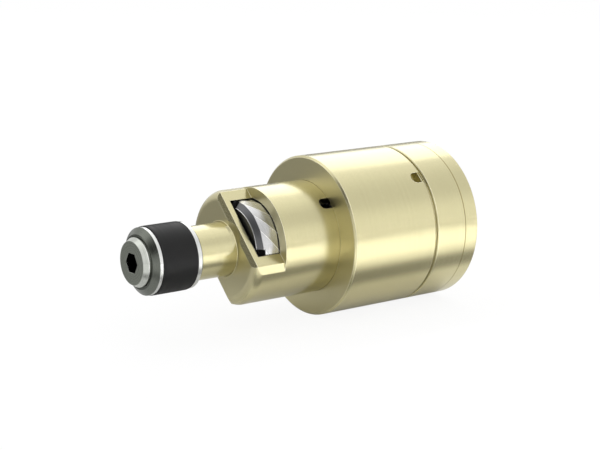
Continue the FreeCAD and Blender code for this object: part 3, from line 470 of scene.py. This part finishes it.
# %% [markdown]
# ## Black rubber
#
# The sleeve is cut from a ground rubber rod. It is nearly black, its gloss is broad and weak, and under
# a loupe it has grinding rings and a fine grain. A little dust sits in the grain, which keeps the black
# from looking like a hole in the picture. Where the surface turns away from the eye its gloss is taken
# down, so that the sleeve's outline stays as dark as in the photograph.


# %% Rubber
RUBBER, RUBBER_DUST = (0.005, 0.005, 0.005), (0.02, 0.02, 0.019)


def make_rubber():
    material, tree, shader = new_surface("black_rubber", RUBBER, 0.0, 0.42)
    away = tree.add("LayerWeight").outputs["Facing"]
    tree.feed(shader.inputs["Specular IOR Level"], tree.fit(away, 0.3, 0.95, 0.24, 0.03))
    fine, broad = turned_marks(tree, 0.16 * MM)
    grain = tree.noise(tree.place(), 4.0 / MM, detail=3.0)
    tree.feed(shader.inputs["Base Color"], tree.mix(tree.fit(grain, 0.62, 0.8), RUBBER, RUBBER_DUST))
    height = tree.math("ADD", tree.math("MULTIPLY", fine, 0.6), tree.math("MULTIPLY", grain, 0.4))
    tree.feed(shader.inputs["Roughness"], tree.fit(broad, 0.3, 0.7, 0.36, 0.48))
    tree.feed(shader.inputs["Normal"], tree.bump(height, 0.012 * MM, 0.5))
    return material


# %% [markdown]
# ## Bronze bushes and the guide ring
#
# Both are hidden inside the connector, but a library part can be opened. Sintered bronze is porous, so it
# gets small dark pits. The guide ring is a plain ivory plastic with a soft gloss.


# %% Bronze and plastic
BRONZE, BRONZE_PIT = (0.55, 0.38, 0.18), (0.22, 0.14, 0.07)
IVORY, IVORY_DEEP = (0.74, 0.70, 0.57), (0.68, 0.63, 0.50)


def make_bronze():
    material, tree, shader = new_surface("sintered_bronze", BRONZE, 1.0, 0.42)
    pits = tree.noise(tree.place(), 3.5 / MM, detail=4.0)
    tree.feed(shader.inputs["Base Color"], tree.mix(tree.fit(pits, 0.35, 0.6), BRONZE_PIT, BRONZE))
    tree.feed(shader.inputs["Normal"], tree.bump(pits, 0.03 * MM, 0.4))
    return material


def make_plastic():
    material, tree, shader = new_surface("guide_plastic", IVORY, 0.0, 0.4)
    flow = tree.noise(tree.place(), 0.25 / MM)
    tree.feed(shader.inputs["Base Color"], tree.mix(flow, IVORY, IVORY_DEEP))
    tree.feed(shader.inputs["Roughness"], tree.fit(flow, 0.3, 0.7, 0.36, 0.46))
    return material


# %% [markdown]
# ## Handing out the finishes
#
# The record names a material slot for every solid, so a table from slot to finish dresses them all. A
# few solids that the photograph shows from close by then get a finish of their own: the washers and the
# bolt, the body with its tight root, and the cap and end plate that share the hairline joint.

# %% Give every solid its finish
finishes = {
    "gold_anodised": make_gold("satin_gold"),
    "plain_aluminium": make_steel("plain_aluminium", (0.70, 0.70, 0.69), 0.3, COARSE, 0.4),
    "stainless_steel": make_steel("turned_steel", (0.52, 0.52, 0.51), 0.28, FINE, 0.4),
    "spring_steel": make_steel("spring_steel", (0.30, 0.30, 0.31), 0.35, 0.2 * MM, 0.3),
    "bronze": make_bronze(),
    "black_rubber": make_rubber(),
    "guide_plastic": make_plastic(),
}
own_finishes = {
    "front_washer": washer_steel,
    "rear_washer": washer_steel,
    "seal_bolt": bolt_steel,
    "front_body": body_gold,
    "rear_cap": cap_gold,
    "end_plate": cap_gold,
}
for part in record["subparts"]:
    name = part["node"]
    nodes[name].data.materials.clear()
    nodes[name].data.materials.append(own_finishes.get(name, finishes[part["material_slot"]]))
print(len(finishes), "finishes by slot and", len(own_finishes), "solids with one of their own")

# %% [markdown]
# ## Turning a piece on Blender's lathe
#
# A turned piece is a profile swept round an axis. The helper takes the profile as pairs of radius and
# place along the axis and joins one ring of points to the next. Quads that run with the form shade
# cleanly, and a rounded rim is just a few more pairs in the profile.


# %% Piece and lathe helpers
def add_piece(name, points, faces, material, smooth=True):
    """A mesh object that belongs to the connector."""
    mesh = bpy.data.meshes.new(name)
    mesh.from_pydata(points, [], faces)
    mesh.validate()
    mesh.update()
    mesh.materials.append(material)
    for face in mesh.polygons:
        face.use_smooth = smooth
    piece = bpy.data.objects.new(name, mesh)
    bpy.context.scene.collection.objects.link(piece)
    return piece


def turn(profile, sides=160):
    """Points and faces of a closed profile swept round the axis."""
    points, faces = [], []
    count = len(profile)
    for step in range(sides):
        angle = 2 * math.pi * step / sides
        points += [(r * math.cos(angle), y, r * math.sin(angle)) for r, y in profile]
        here, there = step * count, (step + 1) % sides * count
        for i in range(count):
            j = (i + 1) % count
            faces.append((here + i, here + j, there + j, there + i))
    return points, faces


def rounded(profile, reach, steps=5):
    """Rounds each corner of a closed profile of (radius, place, share of reach)."""
    out = []
    for i, (r, y, share) in enumerate(profile):
        here = Vector((r, y))
        if share == 0:
            out.append((r, y))
            continue
        before = Vector(profile[i - 1][:2]) - here
        after = Vector(profile[(i + 1) % len(profile)][:2]) - here
        first = here + before.normalized() * reach * share
        last = here + after.normalized() * reach * share
        for step in range(steps + 1):
            t = step / steps
            out.append(tuple(first * (1 - t) ** 2 + here * 2 * t * (1 - t) + last * t ** 2))
    return out


# %% [markdown]
# ## The rubber sleeve
#
# Rubber is moulded or cut, never chamfered by a lathe, so its rims are soft and its outside is ground
# to size. The solid stands in with plain bevels. Here the sleeve gets rolled rims and a surface that
# dips by a few hundredths at its ends, as a sleeve does that stands free between two washers.

# %% Rubber sleeve
sleeve_outer = radius("seal_sleeve")
sleeve_inner = 6.3 * MM
end_dip = 0.05 * MM
SLEEVE_STEPS = 12
outline = [(sleeve_inner, sleeve_front, 0.5), (sleeve_inner, sleeve_rear, 0.5)]
for step in range(SLEEVE_STEPS + 1):
    share = step / SLEEVE_STEPS
    y = sleeve_rear + (sleeve_front - sleeve_rear) * share
    rim = 1 if step in (0, SLEEVE_STEPS) else 0
    outline.append((sleeve_outer - end_dip * abs(2 * share - 1) ** 6, y, rim))
points, faces = turn(rounded(outline, 0.45 * MM))
sleeve = add_piece("seal_sleeve_rubber", points, faces, finishes["black_rubber"])
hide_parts("seal_sleeve")
print("the sleeve has", len(faces), "faces")

# %% [markdown]
# ## The return spring
#
# A compression spring is a round wire whose end coils are closed and ground flat. The solid's wire has
# only a few flat sides to stay light. This one is round, and its pitch is less towards both ends, so
# that the end coils lie flatter, as they do on a real spring. Its ends and its radius are those of the
# solid. The solid's few-sided wire stands out a little more than a round one, so its reach is taken off
# the radius to find the middle of the wire.

# %% Measures of the spring
SPRING_WIRE = 2.2 * MM
SOLID_WIRE_REACH = 1.27 * MM
SPRING_TURNS = 4.5
END_CLOSING = 0.03
spring_front, spring_rear = ends("return_spring")
spring_mean = radius("return_spring") - SOLID_WIRE_REACH
print("the spring's wire runs from", round(spring_front / MM, 2), "to", round(spring_rear / MM, 2), "mm")

# %% [markdown]
# ## Winding the wire in two halves
#
# The wire is a tube: small rings of points that climb along the coil. It comes in two halves that meet in
# the middle of the spring, because two joints squeeze it, which a later cell explains. Both halves stand
# for the same solid.


# %% Return spring
def half_spring(name, first, last, sides=14, steps=36):
    """The part of the spring between two shares of its length, with flat caps on the wire."""
    points, faces = [], []
    total = round(SPRING_TURNS * steps * (last - first))
    half = SPRING_WIRE / 2
    for step in range(total + 1):
        share = first + (last - first) * step / total
        angle = 2 * math.pi * SPRING_TURNS * share
        eased = share - END_CLOSING * math.sin(2 * math.pi * share)
        y = spring_front + half + (spring_rear - spring_front - SPRING_WIRE) * eased
        for side in range(sides):
            round_angle = 2 * math.pi * side / sides
            r = spring_mean + half * math.cos(round_angle)
            height = y + half * math.sin(round_angle)
            points.append((r * math.cos(angle), height, r * math.sin(angle)))
    for start in range(0, total * sides, sides):
        for side in range(sides):
            a, b = start + side, start + (side + 1) % sides
            faces.append((a, b, b + sides, a + sides))
    faces.append(tuple(range(sides)))
    faces.append(tuple(range(total * sides, total * sides + sides))[::-1])
    piece = add_piece(name, points, faces, finishes["spring_steel"])
    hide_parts("return_spring")
    return piece


halves = [half_spring("return_spring_front", 0.0, 0.5), half_spring("return_spring_rear", 0.5, 1.0)]
print("each half has", [len(half.data.polygons) for half in halves], "faces")

# %% [markdown]
# ## The adjusting ring's slanted facets
#
# A fingertip turns this ring through the window, so its rim is milled into flat facets that wind round it
# like a coarse thread. The mesh has one column of points for each place across a facet, and every column
# is turned on as it runs backwards. That keeps the ridges exact lines, so they can stay sharp while the
# facet between them shades smoothly. Each facet is sunk by only a share of what a flat one would be, so
# that it is slightly crowned, and each ridge has a narrow flat of its own that catches the light.

# %% Sizes of the ring and columns across its facets
RING_FACETS = 16
RING_LEAD = 77.5 * MM
RING_RADIUS = 14.7 * MM
RING_BORE = 6.05 * MM
FACET_SINK = 0.3
RIDGE = math.radians(0.5)
FIRST_RIDGE = math.radians(36.8)


def facet_columns(steps=8):
    """For each column: its angle, its radius and whether a ridge's bright line starts there."""
    half = math.pi / RING_FACETS
    flat = RING_RADIUS * math.cos(half)
    columns = []
    for facet in range(RING_FACETS):
        centre = FIRST_RIDGE + (2 * facet + 1) * half
        for step in range(steps + 1):
            off = (half - RIDGE) * (2 * step / steps - 1)
            fall = RING_RADIUS - flat / math.cos(off)
            columns.append((centre + off, RING_RADIUS - FACET_SINK * fall, step == steps))
    return columns


print("the ring has", RING_FACETS, "facets and", len(facet_columns()), "columns of points")

# %% [markdown]
# ## Rows from the bore to the bore
#
# The ring's profile is a list of rows: the bore, the flat front, the cone, the rim with its facets, the
# rear bevel, the flat rear and the bore again. The cone and the bevel keep one angle all round, so they
# cut a sunk facet in a shallow scallop, as a lathe tool does.

# %% Rows along the ring
CONE_LENGTH, CONE_DROP = 1.6 * MM, 1.75 * MM
FRONT_BREAK, REAR_BEVEL = 0.1 * MM, 0.35 * MM
RIM_STEPS = 16
RIM_ROWS = range(3, 3 + RIM_STEPS)
# The cone steel is painted shade and the ridge steel a painted highlight.
FACET, CONE_SHADE, RIDGE_HIGHLIGHT = 0, 1, 2


def ring_rows(columns, front, rear):
    """For each row, every column's radius and place along the axis."""
    face = RING_RADIUS - CONE_DROP
    plain = [(RING_BORE, front), (face - FRONT_BREAK, front), (face, front + FRONT_BREAK)]
    rows = [[pair] * len(columns) for pair in plain]
    for step in range(RIM_STEPS + 1):
        share = step / RIM_STEPS
        row = []
        for _, r, _ in columns:
            scallop = front + CONE_LENGTH * (r - face) / CONE_DROP
            bevel = rear - REAR_BEVEL - (r - RING_RADIUS)
            row.append((r, scallop + (bevel - scallop) * share))
        rows.append(row)
    rows.append([(RING_RADIUS - REAR_BEVEL, rear)] * len(columns))
    rows.append([(RING_BORE, rear)] * len(columns))
    return rows


def ring_finish(row, ridge):
    """Which of the three steels a face of the ring has."""
    # Ridges and the front break get the painted highlight, the front and the cone the painted shade.
    if row == 1 or (row in RIM_ROWS and ridge):
        return RIDGE_HIGHLIGHT
    return CONE_SHADE if row in (0, 2) else FACET


print("the rim runs over", len(RIM_ROWS), "rows")

# %% [markdown]
# ## Joining the rows
#
# The rows become a mesh whose ridges and corners are marked sharp. A ridge is sharp on both sides of its
# narrow flat, and so is every row where the profile turns.


# %% Mesh of the ring
def make_ring(front, rear, steels):
    """The faceted ring between two places along the axis."""
    columns = facet_columns()
    rows = ring_rows(columns, front, rear)
    count = len(columns)
    points, faces, finish = [], [], []
    for row in rows:
        for (angle, _, _), (r, y) in zip(columns, row):
            turned = angle - 2 * math.pi * (y - front) / RING_LEAD
            points.append((r * math.cos(turned), y, r * math.sin(turned)))
    for i in range(len(rows)):
        here, there = i * count, (i + 1) % len(rows) * count
        for j in range(count):
            k = (j + 1) % count
            faces.append((here + j, here + k, there + k, there + j))
            finish.append(ring_finish(i, columns[j][2]))
    ring = add_piece("adjusting_ring_facets", points, faces, steels[FACET])
    for steel in steels[CONE_SHADE:]:
        ring.data.materials.append(steel)
    for polygon, index in zip(ring.data.polygons, finish):
        polygon.material_index = index
    corners = {0, 1, 2, 3, len(rows) - 3, len(rows) - 2, len(rows) - 1}
    for edge in ring.data.edges:
        a, b = sorted(edge.vertices)
        same_row = a // count == b // count
        ridge = not same_row and (columns[a % count][2] or columns[a % count - 1][2])
        edge.use_edge_sharp = ridge or (same_row and a // count in corners)
    return ring


# %% [markdown]
# ## Spanner slots
#
# Four slots for a spanner are milled into the ring's front. A boolean modifier cuts them, and its result
# is kept as the ring's mesh, so that nothing is left to work out later. The facets are ground bright. The
# flat front and the cone are painted dark, which is painted shade, and the ridges and the small break
# between the front and the cone are painted bright, which is a painted highlight.


# %% Adjusting ring
SLOT_HALF = 1.5 * MM
SLOT_DEPTH = 2.2 * MM
SLOT_FROM, SLOT_TO = 10.75 * MM, 16 * MM
CLEAR = 1 * MM


def cut_box(piece, low, high):
    """Cuts a box out of a piece."""
    corners = [(x, y, z) for x in (low[0], high[0]) for y in (low[1], high[1]) for z in (low[2], high[2])]
    sides = [(0, 1, 3, 2), (4, 6, 7, 5), (0, 4, 5, 1), (2, 3, 7, 6), (0, 2, 6, 4), (1, 5, 7, 3)]
    cutter = add_piece("cutter", corners, sides, piece.data.materials[CONE_SHADE], smooth=False)
    cut = piece.modifiers.new("slot", "BOOLEAN")
    cut.operation, cut.solver, cut.object = "DIFFERENCE", "EXACT", cutter
    shape = piece.evaluated_get(bpy.context.evaluated_depsgraph_get())
    result = bpy.data.meshes.new_from_object(shape)
    piece.modifiers.clear()
    piece.data = result
    bpy.data.objects.remove(cutter)


ring_steels = (
    make_steel("ring_steel", (0.62, 0.62, 0.62), 0.24, 0.08 * MM, 0.3),
    # Painted shade: the dark steel of the ring's flat front and cone.
    make_steel("ring_cone_painted_shade", (0.145, 0.147, 0.152), 0.4, COARSE, 0.4),
    # Painted highlight: the near white steel of the ridges and the front break.
    make_steel("ring_ridge_painted_highlight", (1.0, 1.0, 0.98), 0.4, 0.08 * MM, 0.1),
)
ring_front, ring_rear = ends("adjusting_ring")
ring = make_ring(ring_front, ring_rear, ring_steels)
slot_front, slot_rear = ring_front - CLEAR, ring_front + SLOT_DEPTH
for direction in (1, -1):
    near, far = sorted((direction * SLOT_FROM, direction * SLOT_TO))
    cut_box(ring, (near, slot_front, -SLOT_HALF), (far, slot_rear, SLOT_HALF))
    cut_box(ring, (-SLOT_HALF, slot_front, near), (SLOT_HALF, slot_rear, far))
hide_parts("adjusting_ring")
print("with its slots the ring has", len(ring.data.polygons), "faces")

# %% [markdown]
# ## Threads in the ports
#
# A tapped hole shows its thread even in shadow, because each flank catches its own line of light. In the
# solids the holes are smooth bores of the tapping drill's size. One ridge wound inside each bore makes
# the thread. It starts and ends thin, as a thread does where the tap runs out.


# %% One thread
CREST_HEIGHT, CREST_HALF, ROOT_HALF = 0.34, 0.07, 0.42
SUNK = 0.02 * MM
RUN_OUT = 2


def thread(name, x, z, bore, pitch, first, last, steps=40):
    """A ridge wound inside a bore, whose height and half widths are shares of its pitch."""
    turns = abs(last - first) / pitch
    total = int(turns * steps)
    points, faces = [], []
    for step in range(total + 1):
        share = step / total
        angle = 2 * math.pi * turns * share
        fade = min(1.0, share * turns * RUN_OUT, (1 - share) * turns * RUN_OUT)
        y = first + (last - first) * share
        root, crest = bore + SUNK, bore - pitch * CREST_HEIGHT * fade
        for r, shift in ((root, -ROOT_HALF), (crest, -CREST_HALF), (crest, CREST_HALF), (root, ROOT_HALF)):
            points.append((x + r * math.cos(angle), y + shift * pitch, z + r * math.sin(angle)))
    end = total * 4
    for start in range(0, end, 4):
        for side in range(4):
            a, b = start + side, start + (side + 1) % 4
            faces.append((a, b, b + 4, a + 4))
    faces += [(3, 2, 1, 0), (end, end + 1, end + 2, end + 3)]
    ridge = add_piece(name, points, faces, finishes["gold_anodised"], smooth=False)
    return ridge


# %% [markdown]
# ## Six tapped holes
#
# The record's mounts say where the tapped holes are and how wide: the media port in the middle, the small
# drive air port and four mounting holes on a circle. The pitches are those of the pipe thread G1/4 and of
# the metric thread M5. Each thread begins a little inside the rear face.

# %% Threads in their holes
PIPE_PITCH, SCREW_PITCH = 1.337 * MM, 0.8 * MM
MEDIA_THREAD = (-1.6 * MM, -10.0 * MM)
AIR_THREAD = (-0.6 * MM, -5.2 * MM)
MOUNTING_THREAD = (-0.6 * MM, -10.4 * MM)
FIRST_HOLE = math.radians(45)
mounts = {mount["name"]: mount for mount in record["mounts"]}
media_bore = mounts["media_port"]["dims"]["r_mm"] * MM
threads = [thread("media_port_thread", 0.0, 0.0, media_bore, PIPE_PITCH, *MEDIA_THREAD, steps=72)]
air_x, _, air_z = mounts["air_port"]["pos_m"]
air_bore = mounts["air_port"]["dims"]["r_mm"] * MM
threads.append(thread("air_port_thread", air_x, air_z, air_bore, SCREW_PITCH, *AIR_THREAD))
holes = mounts["mounting_holes"]["dims"]
circle = holes["pcd_mm"] / 2 * MM
for number in range(holes["count"]):
    angle = FIRST_HOLE + number * 2 * math.pi / holes["count"]
    spot = (circle * math.sin(angle), circle * math.cos(angle))
    name = "mounting_thread_%d" % (number + 1)
    threads.append(thread(name, *spot, holes["hole_r_mm"] * MM, SCREW_PITCH, *MOUNTING_THREAD))
print(len(threads), "threads")

# %% [markdown]
# ## Riding with the bodies
#
# The threads and the rubber ride with the housing, and the ring with its own body. The rubber is squeezed
# when the nose is drawn back, but here it simply rides along. Two joints squeeze the spring, the draw of
# the nose and the travel of its own seat, so it is made as two halves that meet in the middle. The front
# half runs from the seat to the plunger, the rear half from the plunger to the housing. Here both halves
# only have their place baked into their points.

# %% Rides
for piece in threads:
    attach(piece, "housing")
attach(ring, "adjusting_ring")
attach(sleeve, "housing")
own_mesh(sleeve)
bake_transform(halves[0])
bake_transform(halves[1])

# %% [markdown]
# ## The camera
#
# The photograph was taken with a long lens from the right of the nose and a little above it. The place
# below was fitted to the circles that the photograph shows.

# %% Camera
camera = bpy.data.objects.new("camera", bpy.data.cameras.new("camera"))
bpy.context.scene.collection.objects.link(camera)
camera.location = (396.8 * MM, -353.1 * MM, 107.7 * MM)
view_line = Vector((-0.7828, 0.5876, -0.2049))
camera.rotation_mode = "QUATERNION"
camera.rotation_quaternion = view_line.to_track_quat("-Z", "Y")
camera.data.sensor_width = 36.0
camera.data.lens = 92.58
camera.data.clip_start = 0.01
bpy.context.scene.camera = camera
print("the camera stands", round(camera.location.length / MM), "mm from the rear face")

# %% [markdown]
# ## The room
#
# Metal shows its room, so the room is the larger half of a metal picture. This one is an even grey-white
# with a few soft, round glows, each a direction, how wide it is and how much brighter or darker it is.
# The camera itself sees plain white there, so the picture's background doesn't depend on the glows.


# %% Room
def heading(azimuth, elevation):
    """The direction of that compass angle from +X and that height above the horizon."""
    turned = math.radians(azimuth)
    rise = math.radians(elevation)
    return Vector((math.cos(rise) * math.cos(turned), math.cos(rise) * math.sin(turned), math.sin(rise)))


def make_room(level, darkest, glows):
    """A room of that level, with soft brighter and darker parts round it."""
    world = bpy.data.worlds.new("studio")
    bpy.context.scene.world = world
    world.use_nodes = True
    tree = Tree(world.node_tree)
    direction = tree.add("TexCoord").outputs["Generated"]
    for azimuth, elevation, inner, outer, change in glows:
        near = tree.vector_math("DOT_PRODUCT", direction, heading(azimuth, elevation))
        edge, core = math.cos(math.radians(outer)), math.cos(math.radians(inner))
        level = tree.math("ADD", level, tree.fit(near, edge, core, 0.0, change))
    background = tree.add("Background")
    background.inputs["Color"].default_value = (1, 1, 1, 1)
    seen = tree.add("LightPath").outputs["Is Camera Ray"]
    strength = tree.fit(seen, 0.0, 1.0, tree.math("MAXIMUM", level, darkest), 1.0)
    tree.feed(background.inputs["Strength"], strength)
    output = tree.add("OutputWorld")
    tree.feed(output.inputs["Surface"], background.outputs[0])


# %% [markdown]
# ## The lamps
#
# A bright wide softbox stands high behind the connector and gives the long highlight along the top, and
# another to the camera's right gives the second band. A softbox is set by the radiance of its face,
# because that is what a mirror-like metal shows. The third lamp is only for the table: its grid keeps
# its light in a narrow cone, so that it brightens the table beside the connector and nothing else.


# %% Lamps
def make_lamp(name, size, radiance):
    """A rectangular lamp of that width and length, whose face shines with that radiance."""
    lamp = bpy.data.lights.new(name, "AREA")
    lamp.shape = "RECTANGLE"
    lamp.size, lamp.size_y = size
    lamp.energy = radiance * math.pi * lamp.size * lamp.size_y
    box = bpy.data.objects.new(name, lamp)
    bpy.context.scene.collection.objects.link(box)
    return box


def make_softbox(name, azimuth, elevation, distance, size, target):
    """A softbox of radiance 1 that far from its target."""
    box = make_lamp(name, size, 1.0)
    away = heading(azimuth, elevation)
    box.location = target + away * distance
    box.rotation_mode = "QUATERNION"
    box.rotation_quaternion = away.to_track_quat("Z", "Y")


def make_table_lamp(place, height, size, spread, radiance):
    """A gridded lamp that looks straight down and lights only the table below it."""
    box = make_lamp("table_lamp", size, radiance)
    box.data.spread = math.radians(spread)
    box.location = (*place, cad_box[0][2] + height)


# %% [markdown]
# ## How pale the floor is
#
# The connector lies on a pale floor, and its underside mirrors that floor. The floor is therefore painted
# with the metal in mind: painted shade makes it darker on the far side, painted light makes it paler under
# the connector, and one dark lane on the near side is a painted shadow, which draws the shaded band along
# the connector's lower side. The lane bends a little in front, where the connector gets slimmer.

# %% Paleness of the floor
FAR_START, FAR_END = -110 * MM, -30 * MM
FAR_PALE, UNDER_PALE, NEAR_GAIN = 0.22, 0.74, 0.14
FAR_SLANT = 0.25
LANE_BEND_START, LANE_BEND = 35 * MM, 0.15
# The dark lane is a painted shadow beside the connector.
SHADOW_LANE = ((25 * MM, 32 * MM, -0.6), (38 * MM, 48 * MM, 0.63))


def floor_painted_light_and_shade(tree):
    """How pale the floor is painted: painted light under the connector, painted shade far off and in the
    lane.
    """
    x, y, _ = tree.split(tree.place())
    slanted = tree.math("ADD", x, tree.math("MULTIPLY", y, FAR_SLANT))
    # Painted shade on the far side, painted light under and beside the connector.
    pale = tree.fit(slanted, FAR_START, FAR_END, FAR_PALE, UNDER_PALE)
    pale = tree.math("ADD", pale, tree.fit(x, 8 * MM, 18 * MM, 0.0, NEAR_GAIN))
    forward = tree.math("MINIMUM", tree.math("ADD", y, LANE_BEND_START), 0.0)
    bent = tree.math("SUBTRACT", x, tree.math("MULTIPLY", forward, LANE_BEND))
    for start, end, change in SHADOW_LANE:
        pale = tree.math("ADD", pale, tree.fit(bent, start, end, 0.0, change))
    return pale


print("the dark lane starts", round(SHADOW_LANE[0][0] / MM), "mm to the near side of the axis")

# %% [markdown]
# ## The floor in the picture
#
# The camera sees none of that painting: to it the floor is evenly pale, and the shadow stays on it.


# %% Floor
FLOOR_HALF = 5.0
SEEN_PALE = 0.95


def floor_material(to_camera, to_metal):
    """The floor's finish: those shares of it show plain white, the rest is lit."""
    material = bpy.data.materials.new("pale_floor")
    material.use_nodes = True
    tree = Tree(material.node_tree)
    path = tree.add("LightPath").outputs
    even = tree.math("MULTIPLY", path["Is Camera Ray"], SEEN_PALE)
    lit = tree.add("BsdfDiffuse")
    tree.feed(lit.inputs["Color"], tree.grey(tree.math("MAXIMUM", floor_painted_light_and_shade(tree), even)))
    white = tree.add("Emission")
    white.inputs["Strength"].default_value = 1.0
    mirrored = tree.math("MAXIMUM", path["Is Glossy Ray"], path["Is Transmission Ray"])
    share = tree.math("ADD", tree.math("MULTIPLY", path["Is Camera Ray"], to_camera),
                      tree.math("MULTIPLY", mirrored, to_metal))
    both = tree.add("MixShader")
    for socket, value in zip(both.inputs, (share, lit.outputs[0], white.outputs[0])):
        tree.feed(socket, value)
    output = tree.add("OutputMaterial")
    tree.feed(output.inputs["Surface"], both.outputs[0])
    return material


def make_floor(material):
    """A wide floor just under the connector."""
    low = cad_box[0][2]
    corners = [(x * FLOOR_HALF, y * FLOOR_HALF, low) for x, y in ((-1, -1), (1, -1), (1, 1), (-1, 1))]
    mesh = bpy.data.meshes.new("floor")
    mesh.from_pydata(corners, [], [(0, 1, 2, 3)])
    mesh.materials.append(material)
    floor = bpy.data.objects.new("floor", mesh)
    bpy.context.scene.collection.objects.link(floor)


# %% [markdown]
# ## Putting up the studio
#
# One bright glow is overhead and three stand round the connector, which widens the softboxes' highlights
# and lifts what lies between them. Two dark ones stand in front of the nose and low behind the connector,
# for the unlit parts of a room. The Standard view shows a colour as it is written.

# %% Studio
bpy.context.scene.view_settings.view_transform = "Standard"
GLOWS = (  # azimuth, elevation, full within, gone beyond, all in degrees, and the change
    (0, 90, 30, 44, 0.35),
    (133, 36, 20, 42, 0.2),
    (39, 3, 6, 34, 0.3),
    (232, 42, 8, 34, 0.5),
    (274, 35, 16, 30, -0.87),
    (143, 2, 7, 15, -0.75),
)
make_room(0.9, 0.02, GLOWS)
middle = Vector((0, (cad_box[0][1] + cad_box[1][1]) / 2, 0))
make_softbox("back_softbox", 133, 33, 1.2, (0.75, 0.74), middle)
make_softbox("right_softbox", 350, 36, 1.1, (0.8, 0.9), middle)
make_table_lamp((175 * MM, 20 * MM), 160 * MM, (240 * MM, 300 * MM), 12, 1.2)
make_floor(floor_material(0.9, 0.08))
print(len(GLOWS), "glows round the room and", len(bpy.data.lights), "lamps")
